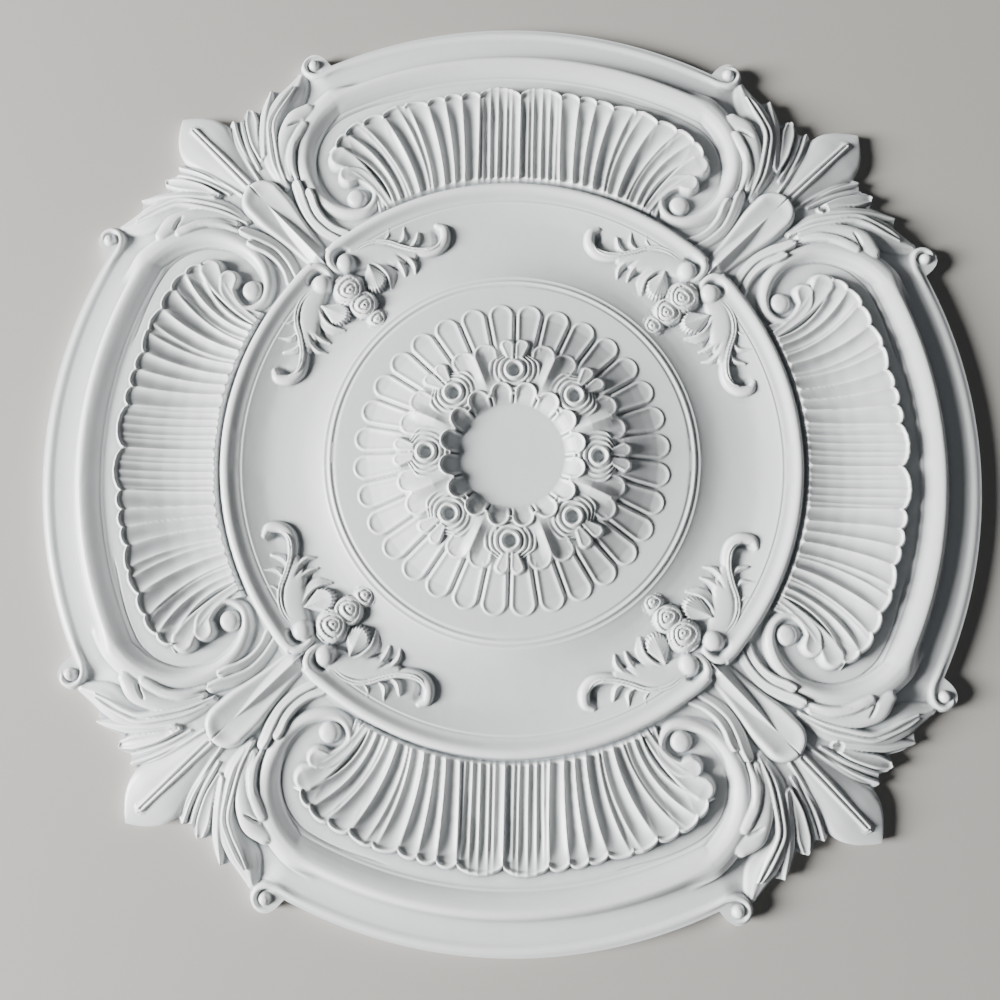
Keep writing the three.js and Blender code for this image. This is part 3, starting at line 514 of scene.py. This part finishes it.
# curl at the end of the rim
rimForms = [
    {"path": [(402, 187.4), (408.2, 173.3), (414.1, 158.9), (418.6, 146.6), (422, 136.5), (428, 128.5),
              (436, 125.6), (443.5, 129), (446, 136.5), (442, 143)],
     "left": [2.4, 2.6, 2.8, 2.8, 2.8, 2.6, 2.4, 2.2, 2, 1.6],
     "right": [2.2, 2.4, 2.6, 2.8, 2.8, 2.6, 2.6, 2.4, 2.2, 1.6],
     "height": [12.4, 13.4, 14, 14.6, 15, 15, 14.6, 14, 13.2, 12.2], "depth": 2.2, "section": "round"},
]
dropForms = [  # leaf spray inside the ring, in the corner's frame
    # smooth leaf body
    {"path": [(252, 24), (247, 40), (238, 52), (225, 61), (213, 70)], "left": [13, 17, 18, 13, 4],
     "right": [5, 5, 5, 4, 3], "height": [25, 25, 24.8, 24.4, 23.4], "depth": [3, 3.6, 3.6, 3, 2],
     "section": "round", "ease": 1.5},
    # curled end of the spray
    {"path": [(238, 60), (222, 68), (209, 78), (202, 90), (203, 101), (211, 109), (219, 107)],
     "left": [2, 3, 5, 6, 6, 5, 3], "right": [2, 3, 3.5, 4.5, 5, 5.5, 3.5],
     "height": [22.5, 23, 23.6, 24.4, 25, 25, 23.5], "depth": [2, 2.5, 3.5, 4.5, 5, 5, 4],
     "section": "round", "ease": 1.2},
    # stem
    {"path": [(254.5, 26), (253, 40), (248, 51), (239, 60), (226, 67), (214, 75), (206, 84), (203.5, 92),
              (205, 99)], "width": [2.6, 2.7, 2.7, 2.6, 2.5, 2.4, 2.4, 2, 1],
     "height": [25, 25.4, 25.6, 25.4, 25.2, 25.4, 25.8, 26, 25.4], "depth": 2.4, "section": "doubleStem",
     "ease": 0.3},
    # crescent lobes on the side of the ring
    {"path": [(222, 70), (220.5, 79), (226, 88)], "left": [1.5, 2.5, 1.6], "right": [2.5, 4, 2],
     "height": [23, 24.6, 24], "depth": 3, "section": "ridge", "ease": 0.5},
    {"path": [(232, 66), (231.5, 74), (240, 82)], "left": [1.5, 2.5, 1.6], "right": [2.5, 4.2, 2],
     "height": [23.5, 25, 24.6], "depth": 3, "section": "ridge", "ease": 0.5},
    {"path": [(243, 57), (244, 65), (250, 70)], "left": [1.5, 2.2, 1.2], "right": [2.5, 3.5, 1.6],
     "height": [24, 25, 25], "depth": 2.4, "section": "ridge", "ease": 0.5},
    # pointed lobes on the side of the field
    {"path": [(226, 62), (213, 64), (205, 63.5), (198, 58.5)], "left": [2.5, 3.4, 3, 1],
     "right": [2.5, 3.4, 2.4, 1], "height": [23.6, 24, 23.4, 21], "depth": [2, 3, 3, 1.5],
     "section": "leaf", "ease": 0.5},
    {"path": [(232, 51), (220, 54), (211, 53), (203, 49.5)], "left": [2, 3, 2.6, 1],
     "right": [2.5, 3.4, 2.4, 1], "height": [23.8, 24, 23.2, 21], "depth": [2, 3, 3, 1.5],
     "section": "leaf", "ease": 0.5},
    # fringed leaf
    {"path": [(240, 34), (226, 40), (213, 39), (203, 31)], "left": [2, 4, 4, 1.2], "right": [3, 5, 5, 2],
     "height": [23.6, 24.6, 24.2, 21.4], "depth": [2, 3.4, 3.6, 1.5], "section": "leftEdge", "ease": 0.5},
    # end of the ring, wound round its dome
    {"path": [(262.3, 66), (266.4, 46), (269, 30), (270, 18), (267.2, 8.8), (260.5, 4), (252.5, 4),
              (246.5, 8)], "left": [4, 5, 6, 6, 5, 4, 3.4, 2], "right": [4, 5, 5.5, 5, 4.4, 3.8, 3.2, 2],
     "height": [27, 28.4, 28.9, 29, 29, 28.4, 27, 24.5], "depth": [4, 5, 6, 6.5, 6.5, 6, 5, 3],
     "section": "round", "ease": 0.5},
]
sections["doubleStem"] = [(-1, 1), (-0.75, 0.3), (-0.5, 0), (-0.2, 0.3), (0, 0.8), (0.2, 0.3), (0.5, 0),
                          (0.75, 0.3), (1, 1)]
dropCuts = [
    {"path": [(257, 27), (262.5, 21), (262.5, 12.5), (255.5, 8)], "width": [2, 2.6, 2.6, 2],
     "depth": [3, 5.5, 5.5, 3], "fade": 0.25},
    {"path": [(207, 84), (206.5, 94), (213, 100), (221, 101)], "width": [2, 3.4, 4, 3],
     "depth": [1, 2.6, 3.4, 2], "fade": 0.3},
    {"path": [(206, 60.5), (216, 59.5), (226, 57)], "width": [1.5, 1.7, 1.2], "depth": [1.6, 2, 1],
     "fade": 0.3},
    {"path": [(209, 49.5), (217, 47.5), (226, 44.5)], "width": [1.5, 1.7, 1.2], "depth": [1.6, 2, 1],
     "fade": 0.3},
    {"path": [(212, 33), (220, 34), (230, 30)], "width": [3, 3.4, 2], "depth": [2, 2.2, 1], "fade": 0.3},
    {"path": [(215, 28), (224, 27.5), (232, 24)], "width": [1, 1.2, 0.8], "depth": [0.9, 0.9, 0.5],
     "fade": 0.3},
]
fringe = {
    "root": (236, 31), "turns": (172, 232), "length": 27, "height": 24.6, "toothTurn": 6.5,
    "shorterSides": 0.3, "toothLength": 1.6, "toothHeight": 0.6, "toothFrom": 5, "toothOver": 10,
    "bow": 0.006, "bowFrom": 14, "sideDrop": 1.6, "sideSlope": 1.2, "reach": 8,
}
dropRounds = [  # centre along the diagonal, outer radius
    {"centre": (189.5, 0), "radius": 10.5, "height": 27}, {"centre": (208.5, 0), "radius": 13, "height": 29},
    {"centre": (229.5, 0), "radius": 14.5, "height": 30.5},
]
budPetals = {  # inner petals sit off centre, as in a half-open rose
    "shift": 0.3, "wave": 0.7, "wavesRound": 3, "first": 1.2, "spacing": 4.6, "bow": 3.4, "drop": 2.6,
    "dropPower": 1.6, "wall": 2.4, "reach": 6,
}
rollBlend = {"from": 23, "over": 5}  # degrees over which the roll of the lobe turns into the scroll
scrollEye = {"centre": (257, 159.5), "section": [(0, 26), (4, 25.8), (7, 24.8), (8.8, 23), (9.8, 20.5)]}
rimEye = {"centre": (436.5, 136.5), "section": [(0, 17), (2.6, 16.6), (4.4, 15), (5.8, 12)]}
ringBall = {"centre": (251, 15.5), "section": [(0, 31), (4, 30.4), (7, 28.8), (9.4, 25.4), (10.4, 22.6)]}


def toCorner(x, y):
    return (x + y) * diagonal, (x - y) * diagonal


def addFringe(height, u, v):
    (cu, cv), (nearEnd, farEnd) = fringe["root"], fringe["turns"]
    d, turn = np.hypot(u - cu, v - cv), np.degrees(np.arctan2(v - cv, u - cu)) % 360
    tooth = 0.5 + 0.5 * np.cos(2 * np.pi * turn / fringe["toothTurn"])
    beyond = np.radians(np.maximum(nearEnd - turn, turn - farEnd)) * d
    middle = np.abs(turn - (nearEnd + farEnd) / 2) / (farEnd - nearEnd) * 2
    length = fringe["length"] * (1 - fringe["shorterSides"] * np.clip(middle, 0, 1) ** 2)
    length = length + fringe["toothLength"] * tooth
    toothShare = np.clip((d - fringe["toothFrom"]) / fringe["toothOver"], 0, 1)
    fan = fringe["height"] + fringe["bow"] * (d - fringe["bowFrom"]) ** 2
    fan = fan + fringe["toothHeight"] * tooth * toothShare - fringe["sideDrop"] * middle
    fan -= wallSlope * np.maximum(d - length, 0) + fringe["sideSlope"] * np.maximum(beyond, 0)
    return np.where(d < fringe["length"] + fringe["reach"], smoothMax(height, fan, 0.4), height)


def addBud(height, u, v, bud):
    (cu, cv), size = bud["centre"], bud["radius"]
    d = np.hypot(u - cu, v - cv)
    shift = budPetals["shift"] * np.clip(size - d, 0, None)
    turn = np.arctan2(v - cv, u - cu + shift)
    waves = budPetals["wave"] * np.cos(budPetals["wavesRound"] * turn) * np.clip(d / size, 0, 1)
    swirl = np.hypot(u - cu + shift, v - cv) + waves
    wave = (swirl - budPetals["first"]) / budPetals["spacing"]
    petalDrop = budPetals["drop"] * (wave - np.floor(wave)) ** budPetals["dropPower"]
    cup = bud["height"] - budPetals["bow"] * (d / size) ** 2 - petalDrop
    cup -= budPetals["wall"] * np.maximum(d - size, 0)
    return np.where(d < size + budPetals["reach"], smoothMax(height, cup, 0.4), height)


def scrollRelief(height, x, y):
    rolled = height.copy()
    for form in scrollForms:
        lay(rolled, x, y, form, 0.5)
    share = np.clip((np.degrees(np.arctan2(y, x)) - rollBlend["from"]) / rollBlend["over"], 0, 1)
    height += (rolled - height) * share * share * (3 - 2 * share)
    for groove in scrollCuts:
        cut(height, x, y, groove)


def reliefHeight(x, y):
    u, v = toCorner(x, y)
    height = bodyRelief(x, y)
    inner = np.hypot(x, y) < rose["bossEdge"]
    height[inner] = bossRelief(x[inner], y[inner])
    scrollRelief(height, x, y)
    flutes = shellRelief(x, y)
    for form in shellEnds:
        lay(flutes, x, y, form, 0.4)
    flutes -= shell["footSlope"] * np.maximum(shell["root"] + shell["footReach"] - np.hypot(x, y), 0)
    height = smoothMax(height, flutes, 0.5)
    dome(height, x, y, scrollEye)
    for form in rimForms:
        lay(height, u, v, form)
    dome(height, u, v, rimEye)
    for form in cornerForms:
        lay(height, u, v, form)
    for groove in cornerCuts:
        cut(height, u, v, groove)
    dome(height, u, v, ringBall)
    for form in dropForms:
        lay(height, u, v, form)
    for groove in dropCuts:
        cut(height, u, v, groove)
    height = addFringe(height, u, v)
    for bud in dropRounds:
        height = addBud(height, u, v, bud)
    return height


# the mesh of one eighth, finer where the surface bends

grid = {
    "spacing": 0.9, "coarsest": 8, "error": {"boss": 0.055, "field": 0.235, "outer": 0.21},
    "rimGap": 0.7, "rimSpacing": 1.5, "seamGap": 0.45, "discGap": 0.4, "beyond": 500, "pastDiagonal": 12,
    "bossSpacing": 1.6, "fieldSpacing": 1.2, "discSpacing": 1.2,
}
lobeArcEnd = 25.7  # degrees from the axis of a lobe to the leaves of the corner
leafEdges = [  # outline of the corner in its own frame, one list for each stretch between notches
    [(424.7, 148.8), (436, 149), (445, 145.5), (449.7, 136), (447.5, 127), (441.5, 121.5)],
    [(441.5, 121.5), (441.2, 108), (440.5, 93)],
    [(440.5, 93), (447.5, 87)],
    [(447.5, 87), (444.5, 74), (438, 61.5)],
    [(438, 61.5), (444.8, 58.5), (447.8, 51), (442.5, 42)],
    [(442.5, 42), (448.6, 37), (448.5, 29.5)],
    [(448.5, 29.5), (460, 26), (471, 19), (480.5, 9), (487, 0)],
]


def fromCorner(u, v):
    return (u + v) * diagonal, (u - v) * diagonal


def outlineOfEighth():
    arc = np.radians(np.linspace(0, lobeArcEnd, 120))
    points = [np.stack([np.cos(arc), np.sin(arc)], 1)[:-1] * rose["lobeRadius"]]
    for edge in leafEdges:
        line = curveThrough(edge, grid["rimSpacing"])[0][:-1]
        points.append(np.stack(fromCorner(line[:, 0], line[:, 1]), 1))
    points.append(np.array([fromCorner(*leafEdges[-1][-1])]))
    return np.vstack(points)


def insideLoop(x, y, loop):
    inside = np.zeros(len(x), bool)
    for (ax, ay), (bx, by) in zip(loop, np.roll(loop, -1, 0)):
        if ay != by:
            inside ^= ((ay > y) != (by > y)) & (x < (bx - ax) * (y - ay) / (by - ay) + ax)
    return inside


def neighbours(height, stride, dx, dy):  # each inner point's neighbour a stride away
    rows, columns = height.shape
    return height[stride * (1 + dx):rows - stride * (1 - dx), stride * (1 + dy):columns - stride * (1 - dy)]


def bends(height, stride):  # how far a coarser grid would cut across each point
    here = neighbours(height, stride, 0, 0)
    bend = np.zeros_like(height)
    worst = np.zeros_like(here)
    for dx, dy in ((1, 0), (0, 1), (1, 1), (1, -1)):
        ahead = neighbours(height, stride, dx, dy)
        behind = neighbours(height, stride, -dx, -dy)
        worst = np.maximum(worst, np.abs(ahead + behind - 2 * here) / 2)
    bend[stride:-stride, stride:-stride] = worst
    return bend


def keptPlaces(height, error, i, j):  # from the coarsest grid down, finer where the surface bends
    keep = np.zeros(height.shape, bool)
    stride = grid["coarsest"]
    while stride >= 1:
        level = (i % stride == 0) & (j % stride == 0)
        if stride == grid["coarsest"]:
            keep |= level
        else:
            bent = bends(height, stride) > error
            near = bent.copy()
            for dx in (-stride, 0, stride):
                for dy in (-stride, 0, stride):
                    near |= np.roll(np.roll(bent, dx, 0), dy, 1)
            keep |= level & near
        stride //= 2
    return keep


def clearOf(points, rim, gap):  # the points further than a gap from the rim
    atOnce = 5000
    far = np.ones(len(points), bool)
    for start in range(0, len(points), atOnce):
        block = points[start:start + atOnce]
        nearest = np.sqrt(((block[:, None] - rim[None]) ** 2).sum(2)).min(1)
        far[start:start + atOnce] = nearest > gap
    return points[far]


def eighthPoints():
    step = grid["spacing"]
    margin = grid["coarsest"]
    count = int(rose["lobeRadius"] / step) + 2 * margin + 8
    line = (np.arange(count) - margin) * step
    x, y = np.meshgrid(line, line, indexing="ij")
    mirroredX, mirroredY = np.maximum(np.abs(x), np.abs(y)), np.minimum(np.abs(x), np.abs(y))
    wanted = mirroredX * mirroredX + mirroredY * mirroredY < grid["beyond"] ** 2
    wanted &= y < x + grid["pastDiagonal"] * step
    height = np.zeros_like(x)
    height[wanted] = reliefHeight(mirroredX[wanted], mirroredY[wanted])
    print("relief evaluated at", int(wanted.sum()), "places")
    radius = np.hypot(x, y)
    error = np.select([radius < rose["bossEdge"], radius < rose["fieldEdge"]],
                      [grid["error"]["boss"], grid["error"]["field"]], grid["error"]["outer"])
    i, j = np.indices(x.shape)
    i, j = i - margin, j - margin
    keep = keptPlaces(height, error, i, j)
    loop = np.vstack([outlineOfEighth(), [(0, 0)]])
    keep &= (j >= 0) & (i >= j)
    nudgeX, nudgeY = 2e-6, 1e-6  # so that a point on the diagonal or the axis counts as inside
    keep[keep] = insideLoop(x[keep] + nudgeX, y[keep] + nudgeY, loop)
    points = np.stack([x[keep], y[keep]], 1)
    rim = loop[:-1]
    return clearOf(points, rim, grid["rimGap"]), rim


def ringPoints(radius, spacing):  # a circle through the eighth, where two pieces meet
    count = int(radius * math.pi / 4 / spacing)
    angle = np.linspace(0, math.pi / 4, count + 1)
    return np.stack([radius * np.cos(angle), radius * np.sin(angle)], 1)


def offCircle(points, radius, gap):
    return points[np.abs(np.hypot(*points.T) - radius) > gap]


def meshEighth():
    points, rim = eighthPoints()
    for edge in (rose["bossEdge"], rose["fieldEdge"]):
        points = offCircle(points, edge, grid["seamGap"])
    points = np.vstack([points, ringPoints(rose["bossEdge"], grid["bossSpacing"]),
                        ringPoints(rose["fieldEdge"], grid["fieldSpacing"])])
    points = offCircle(points, rose["discRadius"], grid["discGap"])
    points = np.vstack([rim, points, ringPoints(rose["discRadius"], grid["discSpacing"])])
    edges = [(i, i + 1) for i in range(len(rim) - 1)]
    flat = [Vector((float(px), float(py))) for px, py in points]
    vertices, _, faces, _, _, _ = delaunay_2d_cdt(flat, edges, [], 0, 1e-6)
    place = np.array([v[:] for v in vertices])
    triangles = np.array([face[:] for face in faces])
    corners = place[triangles]
    centre = corners.mean(1)
    loop = np.vstack([rim, [(0, 0)]])
    triangles = triangles[insideLoop(centre[:, 0], centre[:, 1], loop)]
    corners = place[triangles]
    ab, ac = corners[:, 1] - corners[:, 0], corners[:, 2] - corners[:, 0]
    area = ab[:, 0] * ac[:, 1] - ab[:, 1] * ac[:, 0]
    triangles[area < 0] = triangles[area < 0][:, ::-1]
    triangles = triangles[np.abs(area) > 1e-5]
    onDiagonal = np.abs(place[:, 0] - place[:, 1]) < onLine
    place[onDiagonal] = place[onDiagonal].mean(1)[:, None]
    place[np.abs(place[:, 1]) < onLine, 1] = 0
    height = reliefHeight(place[:, 0], place[:, 1])
    return place, height, triangles, rim


onLine = 1e-4  # mm within which a point lies on the diagonal or the axis
place, height, triangles, rim = meshEighth()
print("one eighth has", len(triangles), "triangles")


# shader helpers: arithmetic on sockets adds Math nodes


class Socket:
    def __init__(self, tree, output):
        self.tree, self.output = tree, output

    def math(self, operation, *values):
        return addNode(self.tree, "ShaderNodeMath", {"operation": operation}, values)

    def __add__(self, other):
        return self.math("ADD", self, other)

    def __sub__(self, other):
        return self.math("SUBTRACT", self, other)

    def __rsub__(self, other):
        return self.math("SUBTRACT", other, self)

    def __mul__(self, other):
        return self.math("MULTIPLY", self, other)

    __radd__, __rmul__ = __add__, __mul__


def addNode(tree, kind, settings=(), values=(), output=0):
    node = tree.nodes.new(kind)
    for name, value in dict(settings).items():
        setattr(node, name, value)
    pairs = values.items() if isinstance(values, dict) else enumerate(values)
    for name, value in pairs:
        if isinstance(value, Socket):
            tree.links.new(value.output, node.inputs[name])
        else:
            node.inputs[name].default_value = value
    return Socket(tree, node.outputs[output]) if node.outputs else node


# paint colours: the light colour shows on crests as a painted highlight, and the dark bluish grey is painted
# shade, mixed in a little over plain ground and strongly in hollows
paint = {
    "colour": (0.95, 0.96, 0.955, 1), "shadeColour": (0.36, 0.385, 0.40, 1), "shine": 0.5, "roughness": 0.36,
    "plainGroundShade": 0.3, "shadeReach": [(2.5, 0.22), (8, 0.08)], "shadeAround": 6, "shadeFromTip": 30,
    "cloudSize": 14.0, "mottle": 0.05, "cloudRoughness": 0.16, "recessRoughness": 0.12,
    "grainSize": 900.0, "grainDepth": 0.00003, "unevenSize": 55.0, "unevenDepth": 0.00018,
}


def makePaint():
    material = bpy.data.materials.new("paintedCasting")
    material.use_nodes = True
    tree = material.node_tree
    tree.nodes.clear()
    place = addNode(tree, "ShaderNodeTexCoord", output="Object")
    paintedShading = addNode(tree, "ShaderNodeAttribute", {"attribute_name": "paintedShading"}, output="Fac")
    cloud = addNode(tree, "ShaderNodeTexNoise", {}, {
        "Vector": place, "Scale": paint["cloudSize"], "Detail": 4.0, "Roughness": 0.6})
    grain = addNode(tree, "ShaderNodeTexNoise", {}, {
        "Vector": place, "Scale": paint["grainSize"], "Detail": 2.0})
    uneven = addNode(tree, "ShaderNodeTexNoise", {}, {
        "Vector": place, "Scale": paint["unevenSize"], "Detail": 3.0})
    # painted shade darkens hollows and plain ground towards the dark grey, crests keep the light colour as a
    # painted highlight, and the cloud varies the tone at random
    shade = addNode(tree, "ShaderNodeMix", {"data_type": "RGBA"}, {
        0: paintedShading + (cloud - 0.5) * paint["mottle"] * 2, 6: paint["colour"], 7: paint["shadeColour"]}, 2)
    fine = addNode(tree, "ShaderNodeBump", {}, {
        "Strength": 1.0, "Distance": paint["grainDepth"], "Height": grain})
    bump = addNode(tree, "ShaderNodeBump", {}, {
        "Strength": 1.0, "Distance": paint["unevenDepth"], "Height": uneven, "Normal": fine})
    roughness = paint["roughness"] + (cloud - 0.5) * paint["cloudRoughness"]
    roughness = roughness + paintedShading * paint["recessRoughness"]
    shader = addNode(tree, "ShaderNodeBsdfPrincipled", {}, {
        "Base Color": shade, "Roughness": roughness, "Specular IOR Level": paint["shine"], "Normal": bump})
    addNode(tree, "ShaderNodeOutputMaterial", {}, {"Surface": shader})
    return material


paintMaterial = makePaint()
print("paint mixed")


# the eighth is turned and mirrored round the rose by geometry nodes


def repeatTree():
    tree = bpy.data.node_groups.new("repeatRound", "GeometryNodeTree")
    tree.is_modifier = True
    sockets = [
        ("Eighth", "NodeSocketGeometry", None), ("Copies", "NodeSocketInt", 4),
        ("First Turn", "NodeSocketFloat", 0.0), ("Turn Between", "NodeSocketFloat", math.pi / 2),
        ("Weld Distance", "NodeSocketFloat", 0.00004), ("Paint", "NodeSocketMaterial", None),
    ]
    for name, kind, value in sockets:
        socket = tree.interface.new_socket(name, in_out="INPUT", socket_type=kind)
        if value is not None:
            socket.default_value = value
    tree.interface.new_socket("Rose", in_out="OUTPUT", socket_type="NodeSocketGeometry")
    given = tree.nodes.new("NodeGroupInput")
    value = {name: Socket(tree, given.outputs[name]) for name, _, _ in sockets}
    mirrored = addNode(tree, "GeometryNodeTransform", {}, {"Geometry": value["Eighth"], "Scale": (1, -1, 1)})
    mirrored = addNode(tree, "GeometryNodeFlipFaces", {}, {"Mesh": mirrored})
    pair = tree.nodes.new("GeometryNodeJoinGeometry")
    tree.links.new(value["Eighth"].output, pair.inputs[0])
    tree.links.new(mirrored.output, pair.inputs[0])
    spots = addNode(tree, "GeometryNodeMeshLine", {}, {"Count": value["Copies"], "Offset": (0, 0, 0)})
    index = addNode(tree, "GeometryNodeInputIndex")
    turn = index * value["Turn Between"] + value["First Turn"]
    turn = addNode(tree, "ShaderNodeCombineXYZ", {}, {"Z": turn})
    placed = addNode(tree, "GeometryNodeInstanceOnPoints", {}, {
        "Points": spots, "Instance": Socket(tree, pair.outputs[0]), "Rotation": turn})
    solid = addNode(tree, "GeometryNodeRealizeInstances", {}, {"Geometry": placed})
    welded = addNode(tree, "GeometryNodeMergeByDistance", {}, {
        "Geometry": solid, "Distance": value["Weld Distance"]})
    smooth = addNode(tree, "GeometryNodeSetShadeSmooth", {}, {"Geometry": welded})
    painted = addNode(tree, "GeometryNodeSetMaterial", {}, {"Geometry": smooth, "Material": value["Paint"]})
    result = tree.nodes.new("NodeGroupOutput")
    tree.links.new(painted.output, result.inputs[0])
    return tree


repeatRound = repeatTree()


def repeated(name, chosen, copies, firstTurn, eighthTurn=0.0):
    used, faces = np.unique(triangles[chosen], return_inverse=True)
    faces = faces.reshape(-1, 3)
    cos, sin = math.cos(eighthTurn), math.sin(eighthTurn)
    px, py = place[used, 0], place[used, 1]
    flat = np.abs(px - py) < onLine
    sx, sy = px * cos - py * sin, px * sin + py * cos
    if eighthTurn:
        sy = np.where(flat, 0, sy)
    mesh = bpy.data.meshes.new(name + "Eighth")
    mesh.from_pydata(np.stack([sx, sy, height[used]], 1) * mm, [], faces.tolist())
    mesh.attributes.new("paintedShading", "FLOAT", "POINT").data.foreach_set("value", paintedShading[used].astype(np.float32))
    source = bpy.data.objects.new(name + "Source", mesh)
    bpy.context.scene.collection.objects.link(source)
    modifier = source.modifiers.new("repeat", "NODES")
    modifier.node_group = repeatRound
    inputs = [item for item in repeatRound.interface.items_tree if item.in_out == "INPUT"]
    identifier = {item.name: item.identifier for item in inputs}
    modifier[identifier["Copies"]] = copies
    modifier[identifier["First Turn"]] = firstTurn
    modifier[identifier["Paint"]] = paintMaterial
    graph = bpy.context.evaluated_depsgraph_get()
    whole = bpy.data.meshes.new_from_object(source.evaluated_get(graph))
    whole.name = name
    piece = bpy.data.objects.new(name, whole)
    bpy.context.scene.collection.objects.link(piece)
    source.modifiers.remove(modifier)
    bpy.data.objects.remove(source)
    print(name, len(whole.polygons), "triangles")
    return piece


def paintedShadingOf():  # painted shade: 0 on crests, which stay lightest as a painted highlight, 0.3 on plain ground and 1 where a point lies well below what is round it
    radius = np.hypot(*place.T)
    deeper = np.zeros(len(place))
    around = paint["shadeAround"]
    for reach, share in paint["shadeReach"]:
        for turn in range(around):
            dx = reach * math.cos(turn * math.pi / (around / 2))
            dy = reach * math.sin(turn * math.pi / (around / 2))
            ax, ay = np.abs(place[:, 0] + dx), np.abs(place[:, 1] + dy)
            deeper += (reliefHeight(np.maximum(ax, ay), np.minimum(ax, ay)) - height) / around * share
    inside = np.clip((rose["tipRadius"] - radius) / paint["shadeFromTip"], 0, 1)
    return np.clip(paint["plainGroundShade"] + deeper * inside, 0, 1)


# painted shade and painted highlight for every point of the eighth, from how far each lies below its
# surroundings
paintedShading = paintedShadingOf()
centreRadius = np.hypot(*place[triangles].mean(1).T)
inBoss = centreRadius < rose["bossEdge"]
inOuter = centreRadius >= rose["fieldEdge"]
bossPiece = repeated("boss", inBoss, 4, 0.0)
fieldPiece = repeated("field", ~inBoss & ~inOuter, 4, 0.0)
outerPieces = []
for turn, name in enumerate(["northEast", "northWest", "southWest", "southEast"]):
    firstTurn = math.pi / 4 + turn * math.pi / 2
    outerPieces.append(repeated("corner_" + name, inOuter, 1, firstTurn, -math.pi / 4))


# fixing marks: two open screw holes on the right, two filled and smeared on the left

fixings = {
    "along": 302.6, "across": 258.8, "holeRadius": 4.4, "holeDepth": 7, "holeEdge": 1.2,
    "smearRadius": 7, "smearHeight": 0.7, "lumps": 0.5,
}
for piece in outerPieces:
    points = np.empty(len(piece.data.vertices) * 3, np.float32)
    piece.data.vertices.foreach_get("co", points)
    points = points.reshape(-1, 3)
    side = np.sign(points[:, 0].mean())
    up = np.sign(points[:, 1].mean())
    dx, dy = points[:, 0] / mm - side * fixings["along"], points[:, 1] / mm - up * fixings["across"]
    distance = np.hypot(dx, dy)
    if side > 0:
        edge = fixings["holeEdge"]
        share = np.clip((distance - fixings["holeRadius"] + edge) / (2 * edge), 0, 1)
        points[:, 2] -= fixings["holeDepth"] * mm * (1 - smoothstep(share))
    else:
        lumps = 1 + fixings["lumps"] * np.sin(dx * 0.9 + up) * np.sin(dy * 1.1)
        smear = np.exp(-(distance / fixings["smearRadius"]) ** 2 * 2)
        points[:, 2] += fixings["smearHeight"] * mm * lumps * smear
    piece.data.vertices.foreach_set("co", points.ravel())
    piece.data.update()
print("fixing marks made")


# the edge and the flat back, in one plain piece

sharpFrom = 40  # degrees between faces, past which an edge stays sharp


def backPiece():
    loop = []
    heights = reliefHeight(rim[:, 0], rim[:, 1])
    for quarter in range(4):
        turned = np.exp(1j * quarter * math.pi / 2)
        first = (rim[:, 0] + 1j * rim[:, 1]) * turned
        second = (rim[::-1, 1] + 1j * rim[::-1, 0]) * turned
        for point, z in list(zip(first, heights)) + list(zip(second, heights[::-1]))[1:-1]:
            loop.append((point.real, point.imag, z))
    loop = np.array(loop)
    count = len(loop)
    flat = [Vector((float(px), float(py))) for px, py, _ in loop]
    _, _, faces, _, _, _ = delaunay_2d_cdt(flat, [], [list(range(count))], 1, 1e-6)
    vertices = np.vstack([loop, loop * (1, 1, 0)]) * mm
    walls = [(i, i + count, (i + 1) % count + count, (i + 1) % count) for i in range(count)]
    back = [tuple(count + i for i in reversed(face)) for face in faces]
    mesh = bpy.data.meshes.new("back")
    mesh.from_pydata(vertices, [], walls + back)
    mesh.materials.append(paintMaterial)
    for face in mesh.polygons:
        face.use_smooth = len(face.vertices) == 4
    mesh.set_sharp_from_angle(angle=math.radians(sharpFrom))
    piece = bpy.data.objects.new("back", mesh)
    bpy.context.scene.collection.objects.link(piece)
    return piece


pieces = [bossPiece, fieldPiece, *outerPieces, backPiece()]
for piece in pieces:
    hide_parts("ceiling_rose")
    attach(piece, "root")
print("rose assembled")


# floor and light

studio = {
    "floorColour": (0.42, 0.40, 0.37, 1), "floorRoughness": 0.8, "floorSize": 6.0, "floorDrop": 0.0006,
    "sky": (0.54, 0.58, 0.62), "skyStrength": 0.13,
    "sunFrom": 190.0, "sunHeight": 22.0, "sunDistance": 6.0, "sunSize": 2.4, "sunPower": 1550.0,
}
half, low = studio["floorSize"] / 2, -studio["floorDrop"]
floorMesh = bpy.data.meshes.new("floor")
floorMesh.from_pydata([(-half, -half, low), (half, -half, low), (half, half, low), (-half, half, low)], [],
                      [(0, 1, 2, 3)])
floor = bpy.data.objects.new("floor", floorMesh)
bpy.context.scene.collection.objects.link(floor)
floorPaint = bpy.data.materials.new("floorPaint")
floorPaint.use_nodes = True
floorShader = floorPaint.node_tree.nodes["Principled BSDF"]
floorShader.inputs["Base Color"].default_value = studio["floorColour"]
floorShader.inputs["Roughness"].default_value = studio["floorRoughness"]
floorMesh.materials.append(floorPaint)

around, above = math.radians(studio["sunFrom"]), math.radians(studio["sunHeight"])
toward = Vector((math.cos(around) * math.cos(above), math.sin(around) * math.cos(above), math.sin(above)))
lampData = bpy.data.lights.new("window", "AREA")
lampData.shape = "DISK"
lampData.size = studio["sunSize"]
lampData.energy = studio["sunPower"]
lamp = bpy.data.objects.new("window", lampData)
lamp.location = toward * studio["sunDistance"]
lamp.rotation_mode = "QUATERNION"
lamp.rotation_quaternion = toward.to_track_quat("Z", "Y")
bpy.context.scene.collection.objects.link(lamp)
world = bpy.data.worlds.new("studio")
world.use_nodes = True
background = world.node_tree.nodes["Background"]
background.inputs["Color"].default_value = (*studio["sky"], 1)
background.inputs["Strength"].default_value = studio["skyStrength"]
bpy.context.scene.world = world
print("floor and light placed")
